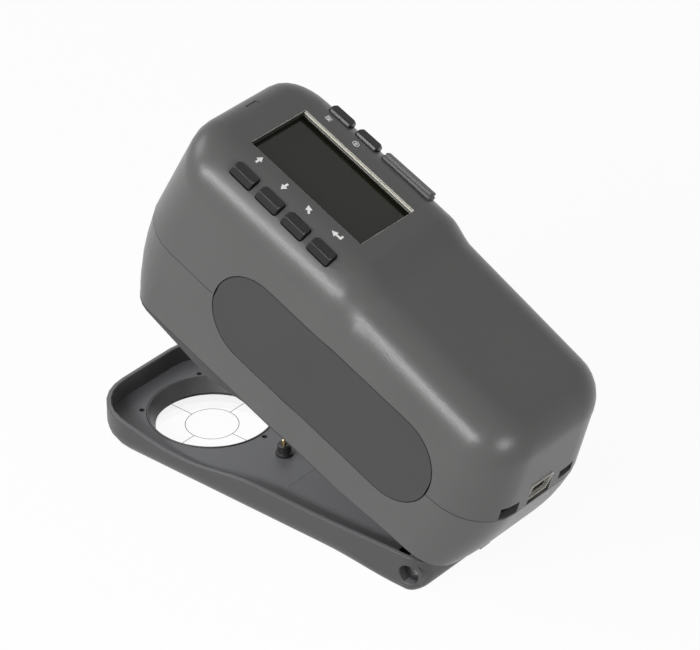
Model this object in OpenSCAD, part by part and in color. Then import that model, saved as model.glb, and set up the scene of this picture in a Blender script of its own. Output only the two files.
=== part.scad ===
// Hand-held colour measuring instrument, standing open on its hinged target shoe.
// The origin is the centre of the target, on the plane that the shoe rests on.
// +X runs back to the hinge, +Z is up. The body is drawn closed and then turned open.

/* [Stance] */
// Angle between the open body and the shoe
open_angle = 24; // [10:0.5:26]
// Distance from the target centre back to the hinge line
hinge_back = 141; // [136:0.5:150]
// Height of the hinge line above the table
hinge_up = 9.5; // [9:0.1:11]

/* [Body] */
// Reach of the body ahead of the target centre
front_reach = 39.1; // [38:0.1:42]
// Reach of the body behind the hinge line
rear_reach = 18.7; // [17:0.1:22]
// Half width of the head
head_half = 41.6; // [41.2:0.1:43]
// Half width of the handle
handle_half = 41; // [40.8:0.1:41.2]
// Height of the seam between the housings
seam_z = 54.5; // [52:0.5:58]
// Height of the head's flat top
head_z = 109.4; // [107:0.2:114]
// Height of the handle where it leaves the head
handle_z = 105.2; // [104:0.2:107]
// Height of the handle's top at the rear
tail_z = 100; // [98.5:0.5:103]
// Start of the step from head to handle
step_x = 56; // [55:0.5:60]
// Length of that step
step_len = 15; // [10:0.5:20]
// Thickness of the housing walls
wall = 3; // [2.6:0.1:3.4]

/* [Rounding] */
// Plan radius of the front corners
front_corner = 24; // [23.5:0.1:26]
// Plan radius of the rear corners
rear_corner = 25; // [24:0.5:27]
// Edge radius across the front of the top
front_edge = 11; // [9:0.5:13]
// Edge radius along the sides of the head
head_edge = 21; // [19:0.1:21.4]
// Edge radius along the sides of the handle
handle_edge = 21; // [19:0.1:21.4]
// Edge radius across the rear of the top
rear_edge = 18; // [14:0.5:20]

/* [Underside] */
// Height of the lower housing's bottom edge at the front
low_front = 18; // [17.8:0.1:20]
// Height of that edge at the rear
low_rear = 20.5; // [20.3:0.1:21.5]
// How far the front tucks in towards the bottom
front_tuck = 9.6; // [8:0.1:10]
// How far the rear tucks in towards the bottom
rear_tuck = 7.5; // [6:0.1:8]
// Height of the dark skirt's bottom, inside the shoe's rim when closed
skirt_z = 13.4; // [13:0.1:14.5]
// Height of the cover's plug inside the lower housing
plug_h = 3; // [2.5:0.1:4]

/* [Shoe] */
// Reach of the shoe ahead of the target centre
shoe_front = 38.4; // [37:0.1:40]
// Reach of the shoe behind the hinge line
shoe_rear = 6.8; // [6.6:0.1:7.2]
// Half width of the shoe
shoe_half = 40; // [39:0.1:40.6]
// Plan radius of the shoe's front corners
shoe_corner = 25; // [20:0.5:25.5]
// Thickness of the shoe's floor
floor_z = 8.1; // [7.8:0.1:8.4]
// Wall thickness of the shoe
shoe_wall = 2.2; // [1.8:0.1:2.6]
// Height of the rim
rim_top = 16.8; // [15.5:0.1:16.8]
// Depth of the dip in the rim beside the target
dip_depth = 4.6; // [0:0.1:5]
// Radius of the ears' round tops
ear_r = 8.8; // [8.5:0.1:9]

/* [Target] */
// Outer radius of the target ring
target_r = 28.2; // [27:0.1:29]
// Visible radius of the clear window
window_r = 24.2; // [23:0.1:25]
// Distance of the trigger post behind the target centre
post_x = 45; // [43:0.5:47]
// Distance of the trigger post to the left of the middle
post_left = 4.5; // [0:0.5:6]
// Travel of the trigger pin
pin_travel = 1.5; // [1:0.1:1.6]

/* [Grips] */
// Length of a grip
grip_len = 121; // [112:0.5:122]
// Height of a grip
grip_h = 42; // [36:0.5:44]
// Distance of the grips' centre behind the target centre
grip_x = 71; // [70:0.5:72]
// Height of the grips' centre in the closed body
grip_z = 57; // [56:0.5:58]
// Thickness of a grip at its thinnest
grip_t = 1.9; // [1.5:0.1:2.2]
// Width of the groove round a grip
grip_groove = 0.25; // [0.15:0.05:0.3]

/* [Display and keys] */
// Distance of the display's centre behind the target centre
display_x = 17; // [16:0.5:18]
// Length of the display opening
display_len = 63; // [58:0.5:64]
// Width of the display opening
display_w = 34; // [30:0.5:35]
// Distance of a key row's middle in from the head's side
key_margin = 10.9; // [10.6:0.1:11.4]
// Outward flare of a key row over its length
key_flare = 1; // [0:0.1:1.2]
// Distance of the first key from the target centre, along the body
first_key_x = -4.2; // [-5:0.1:-3]
// Spacing of the keys
key_pitch = 15.04; // [14.6:0.02:15.2]
// Length of a key
key_len = 11.6; // [10:0.1:12]
// Width of a key
key_w = 6.2; // [5:0.1:6.4]
// Height of a key above the top
key_h = 3; // [1:0.1:3.2]
// Travel of a key
key_travel = 0.9; // [0.5:0.1:0.9]
// Gap round a key in its opening
key_gap = 0.3; // [0.25:0.05:0.4]

/* [Rear] */
// Width of the data socket
socket_w = 12; // [11:0.1:12.4]
// Height of the data socket
socket_h = 8.6; // [8:0.1:9]
// Travel of the power switch
switch_travel = 3; // [2:0.1:3]
// Travel of the shoe lock
lock_travel = 4; // [2:0.1:4]

/* [Fits] */
// Radial clearance of parts that turn or slide in a bore
run_gap = 0.05; // [0.03:0.01:0.1]
// Clearance of parts that stay put
seat_gap = 0.03; // [0.02:0.01:0.08]
// Clearance between parts that move past one another
move_gap = 0.35; // [0.3:0.05:0.45]

/* [Hidden] */
$fn = 48;

body_front = -front_reach;
body_rear = hinge_back + rear_reach;
tray_front = -shoe_front;
tray_rear = hinge_back + shoe_rear;
step_end = step_x + step_len;
slope_end = body_rear - rear_edge;
side_draft = 0.03;
front_draft = 0.075;
rear_draft = 0.16;
side_tuck = 1.2;
arc_steps = 7;
edge_angles = [for (k = [0:9]) 10 * k];
inner_angles = [for (k = [0:6]) 15 * k];
low_steps = [0, 0.3, 0.55, 0.75, 0.9, 1];
end_round = 8.5;
side_round = 8.7;
ear_round = 4.5;
round_run = [95, 135];
dip_run = [-24, 14, 20, 58];
tray_angles = [0, 22.5, 45, 67.5, 90];
tray_rear_corner = 8.6;
tray_rear_wall = 1.8;
corner_lead = 1;
ear_x = hinge_back;
ear_z = hinge_up + ear_r;
skirt_inset = 0.4;
skirt_play = 0.7;
skirt_step = 0.3;
skirt_ledge = 0.2;
skirt_run = [88, 108];
flange_h = 0.6;
plug_play = 0.1;
board_t = 1.6;
ear_run = 52;
ear_rise = hinge_back - ear_run;
low_level = 8;
low_rise_end = hinge_back - low_level;
cover_top = low_front + plug_h;
cover_rear_top = low_rear + plug_h;

// Blend from a to b while v goes from p to q, level at both ends
function blend(v, p, q, a, b) =
    let (t = min(1, max(0, (v - p) / (q - p)))) a + (b - a) * t * t * (3 - 2 * t);
function lerp(a, b, t) = a + (b - a) * t;
// How a side swings in below the seam, 0 at the seam and 1 at the bottom
function bow(t) = 0.35 * t + 0.65 * t * t * t;

function half_width(x) = blend(x, step_x, step_end, head_half, handle_half);
function top_z(x) =
    blend(x, step_x, step_end, head_z, handle_z)
    - (handle_z - tail_z) * max(0, x - step_end) / (slope_end - step_end);
function low_z(x) = blend(x, ear_rise, low_rise_end, low_front, low_rear);
function rim_dip(x) = dip_depth * blend(x, dip_run[0], dip_run[1], 0, 1)
    * blend(x, dip_run[2], dip_run[3], 1, 0);
function rim_z(x) =
    x < ear_x ? blend(x, ear_rise, ear_x, rim_top, ear_z) - rim_dip(x)
    : hinge_up + sqrt(max(0, ear_r * ear_r - (x - ear_x) * (x - ear_x)));
function flange_low(x) = low_z(x) - flange_h;
function skirt_low(x) =
    blend(x, skirt_run[0], skirt_run[1], skirt_z, flange_low(x) - skirt_step);
// How far the skirt stands in from the outline, to fit inside the shoe's rim
function skirt_side(x) =
    max(side_tuck + wall + skirt_ledge, half_width(x) - shoe_half + shoe_wall + skirt_play);

// Outline point p moved in by side across the body and by end along it, at height z
function inset(p, side, end, z) = [p[0] - p[2] * end, p[1] - p[3] * side, z];

// Half of a plan outline from front to rear along the near side, as x, y and outward normal
function half_plan(xf, xr, bf, br, rf, rr, sides) = concat(
    [for (k = [0:arc_steps])
        let (a = 90 * k / arc_steps)
        [xf + rf - rf * cos(a), -(bf - rf) - rf * sin(a), -cos(a), -sin(a)]],
    [for (s = sides) [s[0], -s[1], 0, -1]],
    [for (k = [0:arc_steps])
        let (a = 90 * k / arc_steps)
        [xr - rr + rr * sin(a), -(br - rr) - rr * cos(a), sin(a), -cos(a)]]
);
function whole_plan(h) = concat(
    h, [for (i = [len(h) - 1:-1:0]) [h[i][0], -h[i][1], h[i][2], -h[i][3]]]
);
function spaced(a, b, n) = [for (k = [1:n]) a + (b - a) * k / (n + 1)];

body_sides = concat(
    spaced(body_front + front_corner, step_x, 4),
    [for (k = [0:8]) step_x + step_len * k / 8],
    spaced(step_end, body_rear - rear_corner, 7)
);
body_plan = whole_plan(half_plan(
    body_front, body_rear, head_half, handle_half, front_corner, rear_corner,
    [for (x = body_sides) [x, half_width(x)]]
));
tray_sides = concat(
    spaced(tray_front + shoe_corner, ear_rise, 13),
    [for (k = [0:9]) lerp(ear_rise, tray_rear - tray_rear_corner - corner_lead, k / 9)]
);
tray_plan = whole_plan(half_plan(
    tray_front, tray_rear, shoe_half, shoe_half, shoe_corner, tray_rear_corner,
    [for (x = tray_sides) [x, shoe_half]]
));

// Faces between two rings of points, and across an end ring
function band(n, j, k) = [for (i = [0:n - 1])
    let (a = j * n + i, b = j * n + (i + 1) % n, c = k * n + (i + 1) % n, d = k * n + i)
    each [[a, d, c], [a, c, b]]];
function strip(n, i, at) = [at + i, at + i + 1, at + n - 2 - i, at + n - 1 - i];
function turned(f) = [for (i = [len(f) - 1:-1:0]) f[i]];
function cap(n, at, up) = [for (i = [0:n / 2 - 2]) up ? turned(strip(n, i, at)) : strip(n, i, at)];

// Closed skin over rings of points, capped at the first and last ring
module skin(rings) {
    n = len(rings[0]);
    m = len(rings);
    polyhedron(
        points = [for (r = rings) each r],
        faces = concat(
            [for (j = [0:m - 2]) each band(n, j, j + 1)],
            cap(n, 0, false),
            cap(n, (m - 1) * n, true)
        )
    );
}

// Skin over rings of points that closes on itself like a hoop
module hoop(rings) {
    n = len(rings[0]);
    m = len(rings);
    polyhedron(
        points = [for (r = rings) each r],
        faces = [for (j = [0:m - 1]) each band(n, j, (j + 1) % m)]
    );
}

// Round wire along a path that stays near planes across Y
module wire(path, r, sides) {
    n = len(path);
    rings = [for (i = [0:n - 1])
        let (
            d = path[min(n - 1, i + 1)] - path[max(0, i - 1)],
            t = d / norm(d),
            e = cross([0, 1, 0], t),
            u = e / norm(e),
            v = cross(t, u)
        )
        [for (k = [0:sides - 1])
            path[i] + r * (cos(360 * k / sides) * u + sin(360 * k / sides) * v)]];
    polyhedron(
        points = [for (q = rings) each q],
        faces = concat(
            [for (j = [0:n - 2]) each band(sides, j, j + 1)],
            [[for (k = [0:sides - 1]) k]],
            [[for (k = [sides - 1:-1:0]) (n - 1) * sides + k]]
        )
    );
}

// Turns a closed-pose body piece up to the open pose
module opened() {
    translate([hinge_back, 0, hinge_up])
        rotate([0, open_angle, 0])
            translate([-hinge_back, 0, -hinge_up])
                children();
}

// Box given by its lowest and highest corners
module span(a, b) {
    translate(a)
        cube(b - a);
}

module both_sides() {
    children();
    mirror([0, 1, 0])
        children();
}

// Cylinder along Y from y0 to y1, or along X from x0 to x1
module across(r, x, z, y0, y1) {
    translate([x, y0, z])
        rotate([-90, 0, 0])
            cylinder(r = r, h = y1 - y0);
}

module along(r, y, z, x0, x1) {
    translate([x0, y, z])
        rotate([0, 90, 0])
            cylinder(r = r, h = x1 - x0);
}

// Box with rounded corners in plan, centred on the origin
module slab(l, w, h, r) {
    linear_extrude(h)
        union() {
            square([l - 2 * r, w], center = true);
            square([l, w - 2 * r], center = true);
            for (sx = [-1, 1], sy = [-1, 1])
                translate([sx * (l / 2 - r), sy * (w / 2 - r)])
                    circle(r);
        }
}

// Stadium-shaped prism that runs along Y through one side of the body
module grip_prism(grow, y0, y1) {
    r = grip_h / 2 + grow;
    dx = (grip_len - grip_h) / 2;
    union() {
        across(r, grip_x - dx, grip_z, y0, y1);
        across(r, grip_x + dx, grip_z, y0, y1);
        span([grip_x - dx, y0, grip_z - r], [grip_x + dx, y1, grip_z + r]);
    }
}

// Shoe

spring_wire = 0.6;
spring_r = 3.8;
spring_foot = 14;
foot_room = 1.2;
pocket_front = hinge_back - spring_foot - foot_room;
pocket_z = hinge_up - spring_r - spring_wire - seat_gap;
ear_depth = 8.5;
boss_in = shoe_half - ear_depth;
lug_w = 6;
lug_margin = 11;
lug_play = 1.5;
lug_out = min(handle_half - lug_margin, boss_in - lug_play);
lug_in = lug_out - lug_w;
lug_r = 4.1;
lug_front = 4.4;
lug_back = 1.6;
lug_fit = 0.1;
boss_ear_r = 6.2;
pin_r = 2.5;
ear_hole_r = 4.3;
ear_skin = 4;
ring_z0 = 1.6;
ring_lip = 0.3;
ring_z1 = floor_z + ring_lip;
window_z0 = 0.4;
window_cover = 1;
window_ledge = 1.3;
window_hole_r = window_r + window_cover;
window_seat_r = window_hole_r + window_ledge;
label_x0 = 62;
label_x1 = 108;
label_half = 22;
label_h = 0.4;
lock_half = 3;
slot_half = lock_half + lock_travel / 2 + move_gap;
lock_z0 = 6;
lock_z1 = 8.4;

module tray_shell() {
    skin(concat(
        [for (a = tray_angles) [for (p = tray_plan)
            let (
                rs = blend(p[0], round_run[0], round_run[1], side_round, ear_round),
                r = lerp(rs, end_round, p[2] * p[2])
            )
            inset(p, rs * (1 - sin(a)), end_round * (1 - sin(a)), r * (1 - cos(a)))]],
        [[for (p = tray_plan) inset(p, 0, 0, rim_z(p[0]))]],
        [for (low = [false, true]) [for (p = tray_plan)
            let (end = p[2] > 0 ? tray_rear_wall : shoe_wall)
            inset(p, shoe_wall, end, low ? floor_z : rim_z(p[0]))]]
    ));
}

module shoe_tray() {
    dimple_place = target_r + 1.8;
    dimple_r = 1.2;
    dimple_depth = 2.5;
    boss_sink = 2;
    boss_out = shoe_half - boss_sink;
    pocket_gap = 0.2;
    slot_depth = 6;
    foot = 6;
    color([0.28, 0.28, 0.29])
        difference() {
            union() {
                tray_shell();
                both_sides()
                    across(boss_ear_r, hinge_back, hinge_up, boss_in, boss_out);
                both_sides()
                    span(
                        [hinge_back - foot, boss_in, floor_z - 1],
                        [hinge_back + foot, boss_out, hinge_up]
                    );
            }
            translate([0, 0, ring_z0])
                cylinder(r = target_r + seat_gap, h = floor_z);
            translate([0, 0, window_z0])
                cylinder(r = window_seat_r + seat_gap, h = ring_z0);
            translate([0, 0, -1])
                cylinder(r = window_hole_r, h = floor_z);
            for (a = [0, 142, -142])
                translate([dimple_place * cos(a), dimple_place * sin(a), floor_z - dimple_depth])
                    cylinder(r = dimple_r, h = 2 * dimple_depth);
            span([label_x0, -label_half, floor_z - label_h], [label_x1, label_half, floor_z + 1]);
            span(
                [pocket_front, -boss_in + pocket_gap, pocket_z],
                [tray_rear - tray_rear_wall, boss_in - pocket_gap, hinge_up * 2]
            );
            both_sides()
                across(ear_hole_r, hinge_back, hinge_up, boss_in - 1, shoe_half + 1);
            span([tray_rear - slot_depth, -slot_half, lock_z0], [tray_rear + 1, slot_half, lock_z1]);
        }
}

module target_ring() {
    lip = target_r - 1;
    throat = lip - 0.6;
    throat_z = ring_z1 - 1.2;
    color([0.2, 0.2, 0.21])
        rotate_extrude($fn = 96)
            polygon([
                [window_r, ring_z0 + seat_gap], [target_r, ring_z0 + seat_gap],
                [target_r, ring_z1 - ring_lip], [target_r - ring_lip, ring_z1],
                [lip, ring_z1], [throat, throat_z]
            ]);
}

module target_window() {
    color([0.92, 0.95, 0.95, 0.4])
        union() {
            cylinder(r = window_hole_r - seat_gap, h = ring_z0, $fn = 96);
            translate([0, 0, window_z0])
                cylinder(r = window_seat_r, h = ring_z0 - window_z0, $fn = 96);
        }
}

post_r = 3;
post_top = floor_z + 5.4;
pin_tip = post_top + pin_travel + 0.7;
stem_r = 1;
cavity_r = 2.3;
cavity_top = post_top - 1;
collar_h = 0.8;
collar_top = cavity_top - 0.1;

module trigger_post() {
    foot_r = post_r + 0.8;
    foot_h = 1.6;
    bevel = 0.4;
    color([0.06, 0.06, 0.06])
        translate([post_x, -post_left, 0])
            difference() {
                union() {
                    translate([0, 0, floor_z])
                        cylinder(r = foot_r, h = foot_h);
                    translate([0, 0, floor_z + 1])
                        cylinder(r = post_r, h = post_top - floor_z - 1 - bevel);
                    translate([0, 0, post_top - bevel])
                        cylinder(r1 = post_r, r2 = post_r - bevel, h = bevel);
                }
                translate([0, 0, floor_z - 1])
                    cylinder(r = cavity_r, h = cavity_top - floor_z + 1);
                translate([0, 0, floor_z])
                    cylinder(r = stem_r + run_gap, h = post_top);
            }
}

module trigger_pin() {
    root = 0.2;
    bevel = 0.4;
    color([0.75, 0.6, 0.3])
        translate([post_x, -post_left, 0])
            union() {
                translate([0, 0, collar_top - collar_h])
                    cylinder(r = cavity_r - run_gap, h = collar_h);
                translate([0, 0, collar_top - root])
                    cylinder(r = stem_r, h = pin_tip - bevel - collar_top + root);
                translate([0, 0, pin_tip - bevel])
                    cylinder(r1 = stem_r, r2 = stem_r - bevel, h = bevel);
            }
}

module trigger_spring() {
    turns = 3;
    wire_r = 0.2;
    coil_r = 1.7;
    z0 = floor_z + wire_r + seat_gap;
    z1 = collar_top - collar_h - wire_r - seat_gap;
    steps = 14 * turns;
    color([0.7, 0.7, 0.72])
        translate([post_x, -post_left, 0])
            wire(
                [for (k = [0:steps])
                    let (a = 360 * turns * k / steps)
                    [coil_r * cos(a), coil_r * sin(a), lerp(z0, z1, k / steps)]],
                wire_r, 5
            );
    // Clear space between turns: pitch less the wire
    echo(trigger_spring_gap = (z1 - z0) / turns - 2 * wire_r);
}

module shoe_label() {
    margin = 0.1;
    color([0.3, 0.3, 0.31])
        span(
            [label_x0 + margin, -label_half + margin, floor_z - label_h],
            [label_x1 - margin, label_half - margin, floor_z]
        );
}

module hinge_pin() {
    pin_sink = 0.8;
    end = shoe_half - ear_skin - pin_sink;
    color([0.72, 0.72, 0.73])
        across(pin_r, hinge_back, hinge_up, -end, end);
}

module hinge_bushings() {
    color([0.15, 0.15, 0.15])
        both_sides()
            difference() {
                across(
                    ear_hole_r - seat_gap, hinge_back, hinge_up, boss_in, shoe_half - ear_skin
                );
                across(pin_r + seat_gap, hinge_back, hinge_up, boss_in - 1, shoe_half);
            }
}

coil_y = 13;

module hinge_springs() {
    pitch = 1.9;
    lift_leg = 12.7;
    rise = open_angle + 26;
    a0 = -90;
    a1 = 3 * 360 + 90 - rise;
    steps = 40;
    coil = [for (k = [0:steps])
        let (a = lerp(a0, a1, k / steps))
        [spring_r * cos(a), pitch * (a - a0) / 360, spring_r * sin(a)]];
    last = coil[steps];
    lift = lift_leg * [-cos(rise), 0, sin(rise)];
    path = concat([[-spring_foot, 0, -spring_r]], coil, [last + lift]);
    color([0.7, 0.7, 0.72])
        both_sides()
            translate([hinge_back, coil_y, hinge_up])
                wire(path, spring_wire, 6);
    // Clear space between turns: pitch less the wire
    echo(hinge_spring_gap = pitch - 2 * spring_wire);
}

module lock_slide() {
    plate_x = tray_rear - tray_rear_wall - move_gap;
    plate_t = 1.6;
    plate_half = 5;
    tab_x = tray_rear + move_gap;
    tab_t = 1.6;
    tab_half = 3.25;
    tab_top = 13.8;
    color([0.08, 0.08, 0.08])
        union() {
            span(
                [plate_x - 1, -lock_half, lock_z0 + move_gap],
                [tab_x + 1, lock_half, lock_z1 - move_gap]
            );
            span([plate_x - plate_t, -plate_half, lock_z0], [plate_x, plate_half, lock_z1 + plate_t]);
            span([tab_x, -tab_half, lock_z0], [tab_x + tab_t, tab_half, tab_top]);
        }
}

// Housings

function end_draft(nx) = nx < 0 ? front_draft : rear_draft;
// Tuck at the bottom: the rear corners keep more of theirs, so they turn tighter
function tuck(p) = p[2] < 0 ? front_tuck : rear_tuck * p[2] * p[2];
function end_edge(nx) = nx < 0 ? front_edge : rear_edge;
function side_edge(x) = blend(x, step_x, step_end, head_edge, handle_edge);
// Point of the upper skin above outline point p, at angle a on the edge, moved in by t
function up_point(p, a, t) =
    let (
        rs = side_edge(p[0]),
        re = end_edge(p[2]),
        r = lerp(rs, re, p[2] * p[2]),
        zt = top_z(p[0] - p[2] * (re + 3)),
        h = zt - seam_z,
        side = side_draft * (h - rs) + t + (rs - t) * (1 - cos(a)),
        end = end_draft(p[2]) * (h - re) + t + (re - t) * (1 - cos(a))
    )
    inset(p, side, end, zt - t - (r - t) * (1 - sin(a)));
function bottom_z(p) = low_z(p[0] - p[2] * tuck(p));
// Point of the lower skin below outline point p, at share t of the way down, moved in by w
function low_point(p, t, w) = inset(
    p, side_tuck * bow(t) + w, tuck(p) * bow(t) + w, lerp(seam_z, bottom_z(p), t)
);
function side_y(x, z) = half_width(x) - (
    z > seam_z ? side_draft * (z - seam_z)
    : side_tuck * bow((seam_z - z) / (seam_z - low_z(x)))
);

screw_y = handle_half - 8;
screw_places = [[-8, screw_y], [80, screw_y]];
screw_r = 1.5;
screw_head_r = 2.8;
screw_head_h = 2;
screw_top = seam_z + 7;
boss_r = 3.5;
boss_top = seam_z + 11;
grip_seat = min(head_half, handle_half) - grip_t;
grip_out = max(head_half, handle_half) + 2;
display_corner = 0.8;
inner_top = head_z - wall;
glass_z1 = inner_top - 0.5;
glass_z0 = glass_z1 - 1.5;
board_z1 = glass_z0 - 5.3;
board_z0 = board_z1 - board_t;
post_places = [[-14, 24.6], [50.5, 24.6]];
board_post_r = 2.2;
board_screw_r = 1;
board_screw_in = 3.6;
key_y = head_half - key_margin;
flare_angle = atan(key_flare / (3 * key_pitch));
top_half = head_half - side_draft * (head_z - seam_z - head_edge) - head_edge;
switch_h = 1.6;
key_stem_r = 0.8;
ear_drop = 0.65;
key_corner = 1;
ear_len = key_len + 2.4;
ear_w = key_w - 1;
ear_h = 0.8;
bar_len = 27.4;
bar_seat = 0.9;
jack_y = -19.7;
jack_z = 57.8;
jack_w = 10;
jack_h = 5.6;
socket_y = -1.5;
socket_z = 60.2;
switch_y = 15.7;
switch_z = 59.6;
switch_slot_w = 9;
switch_slot_h = 4.4;
rear_cut = 9;
socket_rim = 1;
light_angle = 68;
light_w = 7;
light_h = 2.2;
light_corner = 1;
light_len = 5;
light_sink = 0.3;

// Screw boss with a web that ties it to the wall beside it
module boss(p, z0, z1) {
    web_end = half_width(p[0]) - wall + 0.6;
    union() {
        translate([p[0], p[1], z0])
            cylinder(r = boss_r, h = z1 - z0);
        span([p[0] - 1, p[1], z0], [p[0] + 1, web_end, z1]);
    }
}

function key_place(i, side) =
    let (x = first_key_x + i * key_pitch)
    [x, side * (key_y + key_flare * (i - 1.5) / 3)];

// Tilt of the rounded edge under a key, and the height of its surface there
function key_tilt(i) = asin((abs(key_place(i, 1)[1]) - top_half) / head_edge);
function key_top(i) = head_z - head_edge * (1 - cos(key_tilt(i)));
// Distance along a key's axis from the surface down to its switch
function key_reach(i) = (key_top(i) - board_z1 - switch_h) / cos(key_tilt(i));

// Sets a piece drawn at the flat top's height on the rounded edge
module at_key(i, side) {
    p = key_place(i, side);
    translate([p[0], p[1], key_top(i)])
        rotate([0, 0, side * flare_angle])
            rotate([-side * key_tilt(i), 0, 0])
                translate([0, 0, -head_z])
                    children();
}

// Places a piece along the surface normal where the status light sits
module at_light() {
    drop = front_draft * (head_z - front_edge - seam_z);
    translate([body_front + drop + front_edge, 0, head_z - front_edge])
        rotate([0, light_angle - 90, 0])
            translate([0, 0, front_edge])
                children();
}

module upper_skin() {
    skin(concat(
        [for (k = [len(inner_angles) - 1:-1:0])
            [for (p = body_plan) up_point(p, inner_angles[k], wall)]],
        [[for (p = body_plan) inset(p, wall, wall, seam_z)]],
        [[for (p = body_plan) inset(p, 0, 0, seam_z)]],
        [for (a = edge_angles) [for (p = body_plan) up_point(p, a, 0)]]
    ));
}

module key_hole() {
    grow = 2 * key_gap;
    below = 1.2;
    translate([0, 0, inner_top - below])
        slab(key_len + grow, key_w + grow, below + wall + 1, key_corner + key_gap);
}

module upper_housing() {
    color([0.4, 0.4, 0.41])
        difference() {
            union() {
                upper_skin();
                for (p = screw_places)
                    both_sides()
                        boss(p, seam_z, boss_top);
                for (p = post_places)
                    both_sides()
                        translate([p[0], p[1], board_z1])
                            cylinder(r = board_post_r, h = inner_top - board_z1 + 1);
            }
            for (p = screw_places)
                both_sides()
                    translate([p[0], p[1], seam_z - 1])
                        cylinder(r = screw_r + seat_gap, h = screw_top - seam_z + 1.5);
            for (p = post_places)
                both_sides()
                    translate([p[0], p[1], board_z1 - 1])
                        cylinder(r = board_screw_r + seat_gap, h = board_screw_in + 1.6);
            both_sides()
                grip_prism(grip_groove, grip_seat, grip_out);
            translate([display_x, 0, inner_top - 1])
                slab(display_len, display_w, wall + 2, display_corner);
            for (i = [0:3])
                at_key(i, -1)
                    key_hole();
            for (i = [0:1])
                at_key(i, 1)
                    key_hole();
            at_key(2.5, 1)
                translate([0, 0, head_z - bar_seat])
                    slab(bar_len + 2 * seat_gap, key_w + 2 * seat_gap, wall, 1.2);
            at_light()
                translate([0, 0, -light_len - 1])
                    slab(
                        light_h + 2 * seat_gap, light_w + 2 * seat_gap, light_len + 3,
                        light_corner + seat_gap
                    );
            span(
                [body_rear - rear_cut, jack_y - jack_w / 2 - seat_gap, jack_z - jack_h / 2 - seat_gap],
                [body_rear + 1, jack_y + jack_w / 2 + seat_gap, jack_z + jack_h / 2 + seat_gap]
            );
            span(
                [
                    body_rear - rear_cut, socket_y - socket_w / 2 - socket_rim,
                    socket_z - socket_h / 2 - socket_rim
                ],
                [
                    body_rear + 1, socket_y + socket_w / 2 + socket_rim,
                    socket_z + socket_h / 2 + socket_rim
                ]
            );
            span(
                [body_rear - rear_cut, switch_y - switch_slot_w / 2, switch_z - switch_slot_h / 2],
                [body_rear + 1, switch_y + switch_slot_w / 2, switch_z + switch_slot_h / 2]
            );
        }
}

module lower_housing() {
    color([0.41, 0.41, 0.42])
        difference() {
            union() {
                hoop(concat(
                    [for (k = [len(low_steps) - 1:-1:0])
                        [for (p = body_plan) low_point(p, low_steps[k], 0)]],
                    [for (t = [0, 0.5, 1]) [for (p = body_plan) low_point(p, t, wall)]]
                ));
                for (p = screw_places)
                    both_sides()
                        boss(p, cover_top + seat_gap, seam_z);
            }
            for (p = screw_places)
                both_sides()
                    translate([p[0], p[1], low_front])
                        cylinder(r = screw_r + seat_gap, h = seam_z);
            both_sides()
                grip_prism(grip_groove, grip_seat, grip_out);
        }
}

nose_hole_r = 22.8;
read_hole_r = 4;

module bottom_cover() {
    edge = wall + plug_play;
    color([0.17, 0.17, 0.18])
        difference() {
            skin(concat(
                [for (low = [true, false]) [for (p = body_plan)
                    let (
                        end = tuck(p) + edge + skirt_ledge,
                        x = p[0] - p[2] * tuck(p)
                    )
                    inset(p, skirt_side(p[0]), end, low ? skirt_low(x) : flange_low(x))]],
                [for (low = [true, false]) [for (p = body_plan) inset(
                    p, side_tuck + skirt_inset, tuck(p) + skirt_inset,
                    bottom_z(p) - (low ? flange_h : seat_gap)
                )]],
                [for (up = [false, true]) [for (p = body_plan) inset(
                    p, side_tuck + edge, tuck(p) + edge,
                    bottom_z(p) + (up ? plug_h : -seat_gap)
                )]]
            ));
            translate([0, 0, skirt_z - 1])
                cylinder(r = nose_hole_r + seat_gap, h = cover_top);
            translate([post_x, -post_left, skirt_z - 1])
                cylinder(r = read_hole_r + seat_gap, h = cover_top);
            for (p = screw_places)
                both_sides() {
                    translate([p[0], p[1], skirt_z - 1])
                        cylinder(r = screw_r + seat_gap, h = cover_top);
                    translate([p[0], p[1], skirt_z - 1])
                        cylinder(
                            r = screw_head_r + seat_gap,
                            h = skirt_low(p[0]) - skirt_z + 1 + screw_head_h
                        );
                }
            both_sides()
                span(
                    [hinge_back - lug_front - lug_fit, lug_in - lug_fit, low_rear - 4],
                    [hinge_back + lug_back + lug_fit, lug_out + lug_fit, cover_rear_top + 1]
                );
        }
}

bracket_h = 2;

module hinge_bracket() {
    plate_front = 7;
    plate_back = 3.2;
    color([0.12, 0.12, 0.12])
        difference() {
            union() {
                span(
                    [hinge_back - plate_front, -lug_out, cover_rear_top + seat_gap],
                    [hinge_back + plate_back, lug_out, cover_rear_top + bracket_h]
                );
                both_sides()
                    span(
                        [hinge_back - lug_front, lug_in, hinge_up],
                        [hinge_back + lug_back, lug_out, cover_rear_top + 1]
                    );
                both_sides()
                    across(lug_r, hinge_back, hinge_up, lug_in, lug_out);
            }
            both_sides()
                across(pin_r + run_gap, hinge_back, hinge_up, lug_in - 1, lug_out + 1);
        }
}

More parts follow.
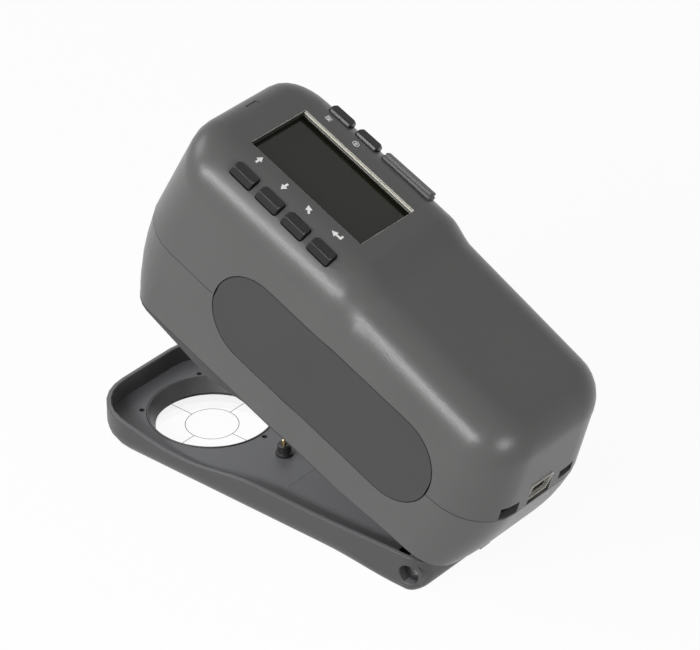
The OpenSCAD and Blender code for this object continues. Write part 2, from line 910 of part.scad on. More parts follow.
// Oval inlay whose outside follows the side of the housings
module grip() {
    r = grip_h / 2;
    dx = (grip_len - grip_h) / 2;
    rows = 6;
    turn = [for (k = [0:8]) 12 + 78 * k / 8];
    xs = concat(
        [for (a = turn) -dx - r * cos(a)],
        spaced(-dx, dx, 9),
        [for (k = [8:-1:0]) dx + r * cos(turn[k])]
    );
    hs = concat(
        [for (a = turn) r * sin(a)], [for (k = [1:9]) r], [for (k = [8:-1:0]) r * sin(turn[k])]
    );
    rings = [for (i = [0:len(xs) - 1])
        let (x = grip_x + xs[i])
        concat(
            [for (k = [0:rows])
                let (z = grip_z + hs[i] * (2 * k / rows - 1))
                [x, -side_y(x, z), z]],
            [for (k = [rows:-1:0])
                [x, -grip_seat - seat_gap, grip_z + hs[i] * (2 * k / rows - 1)]]
        )];
    n = 2 * (rows + 1);
    m = len(rings);
    polyhedron(
        points = [for (q = rings) each q],
        faces = concat(
            [for (j = [0:m - 2]) each band(n, j, j + 1)],
            [for (k = [0:rows - 1]) [k, k + 1, n - 2 - k, n - 1 - k]],
            [for (k = [0:rows - 1]) (m - 1) * n * [1, 1, 1, 1] + [n - 1 - k, n - 2 - k, k + 1, k]]
        )
    );
}

module left_grip() {
    color([0.24, 0.24, 0.25])
        grip();
}

module right_grip() {
    color([0.24, 0.24, 0.25])
        mirror([0, 1, 0])
            grip();
}

// Display and keys

glass_edge = 2.6;

module display_window() {
    color([0.25, 0.26, 0.22, 0.6])
        translate([display_x, 0, glass_z0])
            slab(display_len + 2 * glass_edge, display_w + 2 * glass_edge, glass_z1 - glass_z0, 2);
}

module display_gasket() {
    color([0.82, 0.8, 0.72])
        translate([display_x, 0, glass_z1])
            difference() {
                slab(display_len + 2 * glass_edge, display_w + 2 * glass_edge, inner_top - glass_z1, 2);
                translate([0, 0, -1])
                    slab(display_len - 0.4, display_w - 0.4, 3, display_corner);
            }
}

module display_module() {
    color([0.24, 0.24, 0.2])
        translate([display_x, 0, board_z1])
            slab(display_len + 4, display_w + 6, glass_z0 - board_z1, 1);
}

pad_half = head_half - 8.6;
pad_front = body_front + front_corner - 4;
pad_end = step_x - 3;

module keypad_board() {
    color([0.1, 0.35, 0.16])
        difference() {
            span([pad_front, -pad_half, board_z0], [pad_end, pad_half, board_z1]);
            for (p = post_places)
                both_sides()
                    translate([p[0], p[1], board_z0 - 1])
                        cylinder(r = board_screw_r + seat_gap, h = board_t + 2);
        }
}

module key_switches() {
    color([0.1, 0.1, 0.1])
        for (s = [[0, -1], [1, -1], [2, -1], [3, -1], [0, 1], [1, 1]])
            let (p = key_place(s[0], s[1]), back = key_reach(s[0]) * sin(key_tilt(s[0])))
                translate([p[0], p[1] - s[1] * back, board_z1])
                    union() {
                        slab(5, 5, switch_h - 0.6, 0.6);
                        cylinder(r = 1.4, h = switch_h);
                    }
}

module board_screws() {
    head_h = 1.6;
    head_r = 2;
    color([0.7, 0.7, 0.72])
        for (p = post_places)
            both_sides()
                translate([p[0], p[1], board_z0 - head_h])
                    union() {
                        cylinder(r = head_r, h = head_h);
                        cylinder(r = board_screw_r, h = head_h + board_t + board_screw_in);
                    }
}

// Key cap with bevelled edges, end ears under the top and a stem above its switch
module key(i) {
    ear_top = inner_top - ear_drop;
    stem_gap = key_travel + move_gap + key_stem_r * tan(key_tilt(i));
    stem_z = min(ear_top - ear_h - 0.2, head_z - key_reach(i) + stem_gap);
    top = head_z + key_h;
    bevel = 0.8;
    union() {
        translate([0, 0, ear_top - ear_h])
            slab(key_len, key_w, top - bevel - ear_top + ear_h, key_corner);
        hull() {
            translate([0, 0, top - bevel - 0.2])
                slab(key_len, key_w, 0.2, key_corner);
            translate([0, 0, top - 0.1])
                slab(key_len - 2 * bevel, key_w - 2 * bevel, 0.1, 0.8);
        }
        translate([0, 0, ear_top - ear_h])
            slab(ear_len, ear_w, ear_h, key_corner);
        translate([0, 0, stem_z])
            cylinder(r = key_stem_r, h = ear_top - stem_z - ear_h / 2);
    }
}

module placed_key(i, side) {
    color([0.07, 0.07, 0.07])
        at_key(i, side)
            key(i);
}

module up_key() {
    placed_key(0, -1);
}

module down_key() {
    placed_key(1, -1);
}

module back_key() {
    placed_key(2, -1);
}

module enter_key() {
    placed_key(3, -1);
}

module menu_key() {
    placed_key(0, 1);
}

module read_key() {
    placed_key(1, 1);
}

module blank_bar() {
    color([0.34, 0.34, 0.35])
        at_key(2.5, 1)
            translate([0, 0, head_z - bar_seat])
                union() {
                    slab(bar_len, key_w, bar_seat + 1, 1.2);
                    translate([0, 0, 1])
                        slab(bar_len - 1.2, key_w - 1.2, bar_seat + key_h / 2, 1);
                }
}

module status_light() {
    color([0.12, 0.2, 0.12])
        at_light()
            translate([0, 0, -light_len])
                slab(light_h, light_w, light_len - light_sink, light_corner);
}

// Inside the body

deck_z = 84;
deck_half = 26;
deck_end = hinge_back - 7;
sheet = 2;
floor_front = 30;
bulkhead_x = 84;
bulkhead_end = bulkhead_x + sheet;
deck_run = 26;
deck_front = bulkhead_x - deck_run;
shelf_z = 32;
shelf_half = 24;
shelf_end = hinge_back - 5;
bracket_top = cover_rear_top + bracket_h;
rear_board_x = hinge_back - 1.2;
rear_board_top = 70;
jack_back = rear_board_x + board_t;

module chassis() {
    color([0.75, 0.75, 0.77])
        union() {
            span([floor_front, -deck_half, cover_top], [bulkhead_end, deck_half, cover_top + sheet]);
            span([bulkhead_x, -deck_half, cover_top], [bulkhead_end, deck_half, deck_z + sheet]);
            span([bulkhead_x, -shelf_half, shelf_z - sheet], [shelf_end, shelf_half, shelf_z]);
            span([deck_front, -deck_half, deck_z], [deck_end, deck_half, deck_z + sheet]);
        }
}

spacer_places = [[deck_front + 4, 22], [deck_end - 5, 22]];
spacer_h = 4;
main_z = deck_z + sheet + spacer_h;
main_half = 25;
chip_z = main_z + board_t;

module board_spacers() {
    color([0.72, 0.62, 0.35])
        for (p = spacer_places)
            both_sides()
                translate([p[0], p[1], deck_z + sheet])
                    cylinder(r = 2.5, h = spacer_h, $fn = 6);
}

module main_board() {
    color([0.1, 0.35, 0.16])
        span([deck_front, -main_half, main_z], [deck_end - 1, main_half, chip_z]);
}

module main_board_chips() {
    step = main_half;
    x = deck_front + step / 2;
    chips = [[x, 8, 14, 14], [x + step, -6, 20, 10], [x + 2 * step, 10, 12, 8]];
    chip_h = 2;
    color([0.1, 0.1, 0.1])
        for (c = chips)
            translate([c[0], c[1], chip_z])
                slab(c[2], c[3], chip_h, 0.6);
}

module beeper() {
    beeper_y = 18;
    beeper_r = 5.5;
    beeper_h = 4;
    color([0.08, 0.08, 0.08])
        translate([bulkhead_x, -beeper_y, chip_z])
            difference() {
                cylinder(r = beeper_r, h = beeper_h);
                translate([0, 0, 1])
                    cylinder(r = 1, h = beeper_h);
            }
}

cell_r = 7.1;
cell_len = 50;
cell_pitch = 2 * cell_r + 0.6;
holder_h = 2 * cell_pitch + 1.4;
cell_places = [for (r = [0, 1], c = [-1, 0, 1])
    [c * cell_pitch, shelf_z + 1 + cell_r + r * cell_pitch]];

module battery_holder() {
    color([0.09, 0.09, 0.1])
        difference() {
            span(
                [bulkhead_end, -1.5 * cell_pitch - 1, shelf_z],
                [bulkhead_end + cell_len, 1.5 * cell_pitch + 1, shelf_z + holder_h]
            );
            for (p = cell_places)
                along(cell_r + seat_gap, p[0], p[1], bulkhead_x, bulkhead_x + cell_len + 5);
        }
}

module battery_cells() {
    color([0.2, 0.35, 0.5])
        for (p = cell_places)
            along(cell_r, p[0], p[1], bulkhead_end + seat_gap, bulkhead_end + cell_len);
}

module rear_board() {
    color([0.1, 0.35, 0.16])
        span([rear_board_x, -deck_half, bracket_top], [jack_back, deck_half, rear_board_top]);
}

mouth_in = 2.2;
mouth_x = body_rear - mouth_in;

module power_jack() {
    bore_r = 2.4;
    bore_depth = 9;
    tip_r = 0.9;
    front = mouth_x - 1.2;
    color([0.1, 0.1, 0.1])
        union() {
            difference() {
                span(
                    [jack_back, jack_y - jack_w / 2, jack_z - jack_h / 2],
                    [front, jack_y + jack_w / 2, jack_z + jack_h / 2]
                );
                along(bore_r, jack_y, jack_z, front - bore_depth, front + 1);
            }
            along(tip_r, jack_y, jack_z, jack_back + 1, front - 1);
        }
}

module data_jack() {
    edge = socket_rim - 0.1;
    depth = 11;
    color([0.6, 0.6, 0.6])
        difference() {
            span(
                [jack_back, socket_y - socket_w / 2 - edge, socket_z - socket_h / 2 - edge],
                [mouth_x, socket_y + socket_w / 2 + edge, socket_z + socket_h / 2 + edge]
            );
            span(
                [mouth_x - depth, socket_y - socket_w / 2, socket_z - socket_h / 2],
                [mouth_x + 1, socket_y + socket_w / 2, socket_z + socket_h / 2]
            );
        }
}

module switch_body() {
    front = body_rear - 6;
    color([0.1, 0.1, 0.1])
        difference() {
            span(
                [jack_back, switch_y - 6, switch_z - 3.6],
                [front - 1.2, switch_y + 6, switch_z + 3.6]
            );
            span(
                [front - 3.6, switch_y - switch_slot_w / 2, switch_z - 1.6],
                [front, switch_y + switch_slot_w / 2, switch_z + 1.6]
            );
        }
}

// Drawn at its off end: it slides across to switch on
module power_switch() {
    front = body_rear - 6;
    half = (switch_slot_w - switch_travel) / 2 - move_gap;
    color([0.06, 0.06, 0.06])
        translate([0, switch_y - switch_travel / 2, switch_z])
            union() {
                span([front - 3.4, -half, -1.3], [body_rear - 2.4, half, 1.3]);
                for (y = [-1.2, 0, 1.2])
                    span([body_rear - 3, y - 0.3, -1.3], [body_rear - 1.9, y + 0.3, 1.3]);
            }
}

// Measuring head

nose_z = 2.4;
flange_r = 26;
nose_tip_r = 15;
bore_z = cover_top + sheet;
block_top = 58;
lens_z = 32;
lens_r = 8;
lens_t = 3;
light_path_r = 6;
lamp_path_r = 3;
ring_h = 2;
aperture_r = 9;

module measuring_nose() {
    color([0.08, 0.08, 0.08])
        rotate_extrude($fn = 72)
            polygon([
                [aperture_r + seat_gap, nose_z], [nose_tip_r, nose_z],
                [nose_hole_r - 1.2, skirt_z], [nose_hole_r, skirt_z + 1],
                [nose_hole_r, cover_top + seat_gap], [flange_r, cover_top + seat_gap],
                [flange_r, bore_z], [12, bore_z],
                [aperture_r - 1, nose_z + ring_h], [aperture_r + seat_gap, nose_z + ring_h]
            ]);
}

module aperture_ring() {
    color([0.6, 0.6, 0.62])
        translate([0, 0, nose_z])
            difference() {
                cylinder(r = aperture_r, h = ring_h - seat_gap);
                translate([0, 0, -1])
                    cylinder(r = 4, h = 4);
            }
}

module optics_block() {
    color([0.25, 0.25, 0.27])
        difference() {
            translate([0, 0, bore_z])
                cylinder(r = flange_r - 1, h = block_top - bore_z);
            translate([0, 0, bore_z - 1])
                cylinder(r = light_path_r, h = block_top);
            translate([0, 0, lens_z])
                cylinder(r = lens_r + seat_gap, h = block_top);
            translate([0, 0, lens_z / 2])
                rotate([0, 50, 0])
                    cylinder(r = lamp_path_r, h = block_top);
        }
}

module lens() {
    color([0.8, 0.9, 0.95, 0.5])
        translate([0, 0, lens_z])
            cylinder(r = lens_r, h = lens_t);
}

lamp_z = block_top - 8;
lamp_r = 5;
lamp_len = 14;
lamp_seat = lamp_z + lamp_len - block_top;
socket_wall = 7;
socket_base = 4;

module lamp() {
    color([0.9, 0.9, 0.85])
        union() {
            translate([0, 0, lamp_z])
                cylinder(r = lamp_r, h = lamp_len);
            translate([0, 0, lamp_z])
                sphere(r = lamp_r - 0.4);
        }
}

module lamp_socket() {
    color([0.85, 0.84, 0.8])
        difference() {
            translate([0, 0, block_top])
                cylinder(r = lamp_r + socket_wall, h = lamp_seat + socket_base);
            translate([0, 0, block_top - 1])
                cylinder(r = lamp_r + seat_gap, h = 1 + lamp_seat + seat_gap);
        }
}

wheel_z = 58;
wheel_x = 47;
wheel_r = 22;
wheel_t = 3;
motor_front = 60;
motor_r = 12;
shaft_r = 1.5;
shaft_in = 13.5;
shaft_end = motor_front + shaft_in;
hub_r = 5;
hub_len = 7;
glass_r = 3.6;
glass_ring = 15;
glasses = 8;

module filter_motor() {
    color([0.62, 0.62, 0.64])
        difference() {
            union() {
                along(motor_r, 0, wheel_z, motor_front, bulkhead_x);
                along(hub_r, 0, wheel_z, motor_front - 2, motor_front + 1);
            }
            along(shaft_r + run_gap, 0, wheel_z, motor_front - 3, shaft_end + move_gap);
        }
}

module wheel_shaft() {
    color([0.75, 0.75, 0.77])
        along(shaft_r, 0, wheel_z, wheel_x - 1, shaft_end);
}

module glass_holes(r, x0, x1) {
    for (k = [0:glasses - 1])
        let (a = 360 * k / glasses)
            along(r, glass_ring * cos(a), wheel_z + glass_ring * sin(a), x0, x1);
}

module filter_wheel() {
    color([0.1, 0.1, 0.1])
        difference() {
            union() {
                along(wheel_r, 0, wheel_z, wheel_x, wheel_x + wheel_t);
                along(hub_r, 0, wheel_z, wheel_x + 1, wheel_x + 1 + hub_len);
            }
            along(shaft_r + seat_gap, 0, wheel_z, wheel_x - 1, wheel_x + hub_len + 2);
            glass_holes(glass_r + seat_gap, wheel_x - 1, wheel_x + wheel_t + 1);
        }
}

module filter_glasses() {
    color([0.6, 0.4, 0.6, 0.6])
        glass_holes(glass_r, wheel_x + 0.4, wheel_x + wheel_t - 0.4);
}

detector_x = 36;
detector_half = 20;

module detector_board() {
    color([0.1, 0.35, 0.16])
        span(
            [detector_x, -detector_half, bore_z],
            [detector_x + board_t, detector_half, deck_z - sheet]
        );
}

read_tip = pin_tip + 0.5;

module read_switch() {
    case_z = read_tip + 1;
    color([0.08, 0.08, 0.08])
        translate([post_x, -post_left, 0])
            union() {
                translate([0, 0, case_z])
                    cylinder(r = read_hole_r, h = cover_top - case_z - seat_gap);
                translate([0, 0, read_tip])
                    cylinder(r = 1.5, h = cover_top - read_tip - 1);
            }
}

module housing_screws() {
    color([0.2, 0.2, 0.2])
        for (p = screw_places)
            both_sides()
                let (z = skirt_low(p[0]))
                    translate([p[0], p[1], z + screw_head_h])
                        difference() {
                            union() {
                                translate([0, 0, -1.8])
                                    cylinder(r = screw_head_r, h = 1.8);
                                cylinder(r = screw_r, h = screw_top - z - screw_head_h);
                            }
                            translate([0, 0, -2.8])
                                cylinder(r = 1.3, h = 2, $fn = 6);
                        }
}

shoe_tray();
target_ring();
target_window();
trigger_post();
trigger_pin();
trigger_spring();
shoe_label();
hinge_pin();
hinge_bushings();
hinge_springs();
lock_slide();
opened() upper_housing();
opened() lower_housing();
opened() bottom_cover();
opened() hinge_bracket();
opened() left_grip();
opened() right_grip();
opened() display_window();
opened() display_gasket();
opened() display_module();
opened() keypad_board();
opened() key_switches();
opened() board_screws();
opened() up_key();
opened() down_key();
opened() back_key();
opened() enter_key();
opened() menu_key();
opened() read_key();
opened() blank_bar();
opened() status_light();
opened() chassis();
opened() main_board();
opened() board_spacers();
opened() main_board_chips();
opened() beeper();
opened() battery_holder();
opened() battery_cells();
opened() rear_board();
opened() power_jack();
opened() data_jack();
opened() power_switch();
opened() switch_body();
opened() measuring_nose();
opened() aperture_ring();
opened() optics_block();
opened() lens();
opened() lamp();
opened() lamp_socket();
opened() filter_motor();
opened() wheel_shaft();
opened() filter_wheel();
opened() filter_glasses();
opened() detector_board();
opened() read_switch();
opened() housing_screws();
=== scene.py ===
# %% [markdown]
# # A hand-held colour meter on its target shoe
# The part is a grey instrument that hinges on a dark, flat shoe. The CAD solids arrive as a fixed
# frame in metres, and this lesson dresses them: shells get soft edges, keys and marks are modelled
# by hand, and every surface gets a finish made of nodes.

# %% Load the solids
import bpy
import bmesh
import math
from mathutils import Matrix, Vector


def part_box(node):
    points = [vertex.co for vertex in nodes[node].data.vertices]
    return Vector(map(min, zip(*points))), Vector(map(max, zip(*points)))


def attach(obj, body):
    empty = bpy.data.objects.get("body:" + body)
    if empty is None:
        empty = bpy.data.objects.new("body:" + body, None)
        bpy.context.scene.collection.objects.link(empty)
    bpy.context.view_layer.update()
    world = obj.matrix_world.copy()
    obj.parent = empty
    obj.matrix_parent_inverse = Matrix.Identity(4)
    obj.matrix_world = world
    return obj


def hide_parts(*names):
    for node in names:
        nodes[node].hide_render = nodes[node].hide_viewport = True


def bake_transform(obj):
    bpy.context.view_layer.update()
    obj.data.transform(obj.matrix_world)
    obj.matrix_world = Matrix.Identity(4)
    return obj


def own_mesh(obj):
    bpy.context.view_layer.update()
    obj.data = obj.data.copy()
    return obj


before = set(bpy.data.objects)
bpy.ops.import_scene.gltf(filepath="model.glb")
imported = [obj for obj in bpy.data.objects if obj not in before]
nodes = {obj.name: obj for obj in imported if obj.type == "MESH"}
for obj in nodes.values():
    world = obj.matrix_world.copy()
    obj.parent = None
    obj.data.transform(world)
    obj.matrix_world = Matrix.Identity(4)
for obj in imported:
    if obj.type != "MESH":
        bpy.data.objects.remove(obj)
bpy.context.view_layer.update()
print("solids loaded:", len(nodes))

# %% [markdown]
# ## Two frames
# At rest the meter stands open on its hinge, so nothing on it is level. It is easiest to model lying
# flat, as it was drawn, in millimetres. `OPEN` then turns a finished piece up round the hinge. The
# other way, to model every piece at a slant, would need a turned cursor for each step.

# %% Frames
MM = 0.001
MICRON = 0.000001
HINGE_MM = Vector((141, 0, 9.5))
HINGE = HINGE_MM * MM
OPEN_ANGLE = math.radians(24)
OPEN = Matrix.Translation(HINGE) @ Matrix.Rotation(OPEN_ANGLE, 4, "Y") @ Matrix.Translation(-HINGE)
FLAT = Matrix.Identity(4)
TOP = 109.4
SEAM = 54.5
print("hinge at", [round(v, 4) for v in HINGE])

# %% [markdown]
# ## Selecting in code
# Operators act on whatever is selected, and the loaded solids arrive selected. So each step starts
# from nothing, and edges and faces are then picked by their place or normal, as a mouse would do.

# %% Selection
def only(piece):
    """Make one object the selected and active one."""
    if bpy.context.object and bpy.context.object.mode != "OBJECT":
        bpy.ops.object.mode_set(mode="OBJECT")
    bpy.ops.object.select_all(action="DESELECT")
    piece.select_set(True)
    bpy.context.view_layer.objects.active = piece


def edit(piece):
    """Open a piece in edit mode with everything selected."""
    only(piece)
    bpy.ops.object.mode_set(mode="EDIT")
    bpy.ops.mesh.select_all(action="SELECT")


def choose(kind, test):
    """In edit mode, select the edges or faces whose middle, in millimetres, passes the test."""
    bpy.ops.mesh.select_mode(type=kind)
    bpy.ops.mesh.select_all(action="DESELECT")
    mesh = bmesh.from_edit_mesh(bpy.context.object.data)
    for item in mesh.edges if kind == "EDGE" else mesh.faces:
        middle = sum((v.co for v in item.verts), Vector()) / len(item.verts)
        item.select_set(bool(test(middle / MM, item)))
    bmesh.update_edit_mesh(bpy.context.object.data)


def draw_out(x, y, z):
    """Extrude what is selected, by a way in millimetres."""
    bpy.ops.mesh.extrude_region_move(TRANSFORM_OT_translate={"value": Vector((x, y, z)) * MM})


def done():
    """Leave edit mode."""
    bpy.ops.object.mode_set(mode="OBJECT")


print("selection tools ready")

# %% [markdown]
# ## Finishing a piece
# Moulded and stamped pieces have no razor edges: a small bevel catches a line of light. It could be
# drawn edge by edge, but a modifier finds all sharp edges by their angle and is applied at once.
# The piece's place then goes into its mesh, so patterns on object coordinates stay put.

# %% Modifiers, places and riding
SHARP = 40


def modify(piece, kind, **settings):
    """Add a modifier, set it up and apply it at once."""
    only(piece)
    bpy.ops.object.modifier_add(type=kind)
    made = piece.modifiers[-1]
    for key, value in settings.items():
        setattr(made, key, value)
    bpy.ops.object.modifier_apply(modifier=made.name)


def smooth(piece, angle):
    """Shade smooth across edges that are blunter than an angle in degrees."""
    only(piece)
    bpy.ops.object.shade_smooth_by_angle(angle=math.radians(angle))


def rolled(piece, width, segments=2, limit=SHARP, shade=SHARP, **more):
    """Roll edges sharper than limit with a bevel of a width in millimetres, and shade the piece."""
    modify(piece, "BEVEL", width=width * MM, segments=segments, limit_method="ANGLE",
           angle_limit=math.radians(limit), **more)
    smooth(piece, shade)


def even_normals(piece):
    """Let the large faces lead the shading, so that flats look flat beside a rolled edge."""
    modify(piece, "WEIGHTED_NORMAL", keep_sharp=True, weight=60)


def settle(piece, name, place):
    """Put a piece in its place and store that place in its mesh."""
    only(piece)
    piece.name = name
    piece.data.name = name
    piece.matrix_world = place @ piece.matrix_world
    bpy.ops.object.transform_apply(location=True, rotation=True, scale=True)
    return piece


def wear(piece, finish):
    """Give a piece one finish."""
    piece.data.materials.clear()
    piece.data.materials.append(finish)
    return piece


def carry(piece, name, place, finish, body):
    """Name, place and finish a piece, and let it ride on a body."""
    settle(piece, name, place)
    wear(piece, finish)
    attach(piece, body)
    return piece


print("finishing tools ready")

# %% [markdown]
# ## Shader maths as arithmetic
# A material is a graph, but most of it is sums. `Signal` wraps one socket, so `0.4 + 0.1 * grain`
# adds the Math nodes by itself, which reads better than a row of links.

# %% Signals
class Signal:
    """One output socket, with arithmetic that adds Math nodes."""

    def __init__(self, graph, socket):
        self.graph = graph
        self.socket = socket

    def beside(self, output):
        """Another output of the same node."""
        return Signal(self.graph, self.socket.node.outputs[output])

    def maths(self, operation, a, b=0.0):
        return self.graph.node("ShaderNodeMath", {"operation": operation}, {0: a, 1: b})

    def __add__(self, other):
        return self.maths("ADD", self, other)

    def __sub__(self, other):
        return self.maths("SUBTRACT", self, other)

    def __rsub__(self, other):
        return self.maths("SUBTRACT", other, self)

    def __mul__(self, other):
        return self.maths("MULTIPLY", self, other)

    def __lt__(self, other):
        return self.maths("LESS_THAN", self, other)

    def __gt__(self, other):
        return self.maths("GREATER_THAN", self, other)

    def __abs__(self):
        return self.maths("ABSOLUTE", self)

    def root(self):
        return self.maths("SQRT", self)

    def larger(self, other):
        return self.maths("MAXIMUM", self, other)

    __radd__ = __add__
    __rmul__ = __mul__


print("signals ready")

# %% [markdown]
# ## Graphs and finishes
# A `Graph` holds the nodes of a material or of the world, and its one method `node` adds any node.
# A `Finish` is the graph of a material. It starts from object coordinates, because the pieces all
# sit at the origin, so a pattern there has the same scale on every piece.

# %% Graphs
WHITE = (1, 1, 1, 1)
MIX_A, MIX_B, MIX_RESULT = 6, 7, 2


class Graph:
    """The nodes of a material or of the world."""

    def __init__(self, owner):
        owner.use_nodes = True
        self.owner = owner
        self.tree = owner.node_tree
        self.tree.nodes.clear()

    def node(self, kind, settings, inputs, output=0):
        """Add a node: its settings come first, then the values or links of its sockets."""
        made = self.tree.nodes.new(kind)
        for key, value in settings.items():
            setattr(made, key, value)
        for key, value in inputs.items():
            if isinstance(value, Signal):
                self.tree.links.new(value.socket, made.inputs[key])
            else:
                made.inputs[key].default_value = value
        return Signal(self, made.outputs[output]) if made.outputs else None

    def backdrop_rays(self):
        """1 for the rays of the camera, of gloss and of clear sheets, which see a white backdrop."""
        seen = self.node("ShaderNodeLightPath", {}, {}, "Is Camera Ray")
        return seen.larger(seen.beside("Is Glossy Ray")).larger(seen.beside("Is Transmission Ray"))


class Finish(Graph):
    """The nodes of one material, on object coordinates."""

    def __init__(self, name):
        super().__init__(bpy.data.materials.new(name))
        self.place = self.node("ShaderNodeTexCoord", {}, {}, "Object")

    def noise(self, scale, detail=2.0, place=None):
        """Cloudy value round 0.5, with scale in patches per metre."""
        inputs = {"Vector": place or self.place, "Scale": scale, "Detail": detail}
        return self.node("ShaderNodeTexNoise", {}, inputs)

    def mix(self, factor, a, b):
        """A colour between a and b."""
        inputs = {"Factor": factor, MIX_A: (*a, 1) if isinstance(a, tuple) else a, MIX_B: (*b, 1)}
        return self.node("ShaderNodeMix", {"data_type": "RGBA"}, inputs, MIX_RESULT)

    def bump(self, height, depth):
        """Relief from a height, with its depth in microns."""
        inputs = {"Height": height, "Distance": depth * MICRON, "Strength": 1.0}
        return self.node("ShaderNodeBump", {}, inputs)

    def surface(self, inputs):
        return self.node("ShaderNodeBsdfPrincipled", {}, inputs)

    def output(self, shader):
        self.node("ShaderNodeOutputMaterial", {}, {"Surface": shader})
        return self.owner


print("graphs ready")

# %% [markdown]
# ## Painted shade in seams and grooves, painted light on level faces
# Where two mouldings meet, the real object shows a dark hairline of shade. A slit in the mesh would
# be too narrow to render cleanly, so the finish paints that shade dark. Each of the first three
# functions gives 1 where its painted shade lies; the seam and the grip are measured from the body's
# own axes, which lean with it. The last gives 1 on faces that look up, where a paler tone is painted
# for the light from above.

# %% Gaps
SEAM_HALF = 0.2
GRIP_MIDDLE = (71, 0, 57)
GRIP_STRAIGHT = 39.5
GROOVE_R = 20.6
RING_JOINT_R = 27.9
LEVEL = 0.9


def along_body(fin, axis, start):
    """Distance from a start point along an axis of the body."""
    lean = OPEN.to_3x3() @ Vector(axis)
    inputs = {0: fin.place, 1: lean}
    reach = fin.node("ShaderNodeVectorMath", {"operation": "DOT_PRODUCT"}, inputs, "Value")
    return reach - lean.dot(OPEN @ (Vector(start) * MM))


def painted_seam_shade(fin):
    """Painted shade: a dark hairline in the seam between the two housings."""
    return abs(along_body(fin, (0, 0, 1), (0, 0, SEAM))) < SEAM_HALF * MM


def painted_groove_shade(fin):
    """Painted shade in the groove round a grip, whose outline is two half circles joined by straight
    lines.
    """
    over = (abs(along_body(fin, (1, 0, 0), GRIP_MIDDLE)) - GRIP_STRAIGHT * MM).larger(0.0)
    up = along_body(fin, (0, 0, 1), GRIP_MIDDLE)
    return (over * over + up * up).root() > GROOVE_R * MM


def painted_ring_shade(fin):
    """Painted shade in the joint round the target ring, whose axis is the Z axis of the frame."""
    inputs = {0: fin.place, 1: (1, 1, 0)}
    flat = fin.node("ShaderNodeVectorMath", {"operation": "MULTIPLY"}, inputs)
    away = fin.node("ShaderNodeVectorMath", {"operation": "LENGTH"}, {0: flat}, "Value")
    return away > RING_JOINT_R * MM


def painted_level_light(fin):
    """Faces that look straight up, which get a painted light: a paler tone for the light from above.
    """
    facing = fin.node("ShaderNodeTexCoord", {}, {}, "Normal")
    return fin.node("ShaderNodeSeparateXYZ", {}, {"Vector": facing}, "Z") > LEVEL


print("gaps ready")

# %% [markdown]
# ## Moulded and rubber finishes
# The housings are sprayed with a satin grey that breaks a highlight into fine specks. One noise
# shifts the grey over centimetres, another dimples the paint under a millimetre apart. The same
# recipe, with other tones and grains, gives the rubber, the shoe, the keys and the lining.

# %% Plastics
# Near-black tone of the painted shade in seams and grooves.
PAINTED_SHADE_TONE = (0.006, 0.006, 0.006)
CLOUDS = 30.0


def moulded(name, dark, light, rough, grain=1400.0, depth=12, drift=0.05, shine=0.5,
            painted_shade_and_light=None, painted_shade_and_light_tone=PAINTED_SHADE_TONE):
    """Satin plastic: slow drift of tone, fine grain in gloss and relief, depth in microns."""
    fin = Finish(name)
    clouds = fin.noise(CLOUDS)
    specks = fin.noise(grain, 4.0)
    tone = fin.mix(clouds, dark, light)
    # A given mask paints its tone over the grey: painted shade in seams and grooves, and painted
    # light on the shoe's level faces.
    if painted_shade_and_light:
        tone = fin.mix(painted_shade_and_light(fin), tone, painted_shade_and_light_tone)
    return fin.output(fin.surface({
        "Base Color": tone,
        "Roughness": rough + drift * specks + drift * clouds,
        "Specular IOR Level": shine,
        "Normal": fin.bump(specks, depth),
    }))


# The housing grey carries painted shade: a near-black hairline along the seam between the housings.
housing_paint = moulded("housing_paint", (0.075, 0.075, 0.074), (0.086, 0.086, 0.085), 0.23,
                        grain=1700.0, depth=50, drift=0.08, shine=0.37, painted_shade_and_light=painted_seam_shade)
bar_plastic = moulded("bar_plastic", (0.07, 0.07, 0.07), (0.08, 0.08, 0.08), 0.45,
                      grain=2000.0, depth=4, shine=0.3)
# The grip rubber carries painted shade: a near-black band in the groove round each grip.
grip_rubber = moulded("grip_rubber", (0.027, 0.027, 0.028), (0.033, 0.033, 0.034), 0.5,
                      grain=2200.0, depth=30, painted_shade_and_light=painted_groove_shade)
# The shoe carries painted light: a paler tone on every face that looks up, for the light from above.
shoe_plastic = moulded("shoe_plastic", (0.041, 0.041, 0.042), (0.05, 0.05, 0.051), 0.38,
                       grain=1800.0, depth=30, painted_shade_and_light=painted_level_light, painted_shade_and_light_tone=(0.13, 0.132, 0.138))
skirt_plastic = moulded("skirt_plastic", (0.026, 0.026, 0.028), (0.034, 0.034, 0.036), 0.42,
                        grain=1800.0)
black_plastic = moulded("black_plastic", (0.012, 0.012, 0.012), (0.018, 0.018, 0.018), 0.34,
                        grain=2000.0)
key_plastic = moulded("key_plastic", (0.008, 0.008, 0.008), (0.011, 0.011, 0.011), 0.26,
                      grain=2600.0, depth=0.5, shine=0.3)
# The ring carries painted shade: near-black beyond the joint round the target ring.
ring_plastic = moulded("ring_plastic", (0.06, 0.06, 0.062), (0.07, 0.07, 0.072), 0.35,
                       grain=1800.0, depth=20, painted_shade_and_light=painted_ring_shade)
label_film = moulded("label_film", (0.125, 0.127, 0.133), (0.14, 0.142, 0.148), 0.44,
                     grain=500.0, depth=3)
wall_plastic = moulded("wall_plastic", (0.03, 0.03, 0.026), (0.036, 0.036, 0.031), 0.4,
                       grain=1500.0)
# Painted highlight: a pale tone for the light caught by the display opening's rim and far wall.
painted_highlight_pale = moulded("painted_highlight_pale", (0.5, 0.48, 0.42), (0.58, 0.56, 0.5), 0.35,
                      grain=1500.0, depth=1)
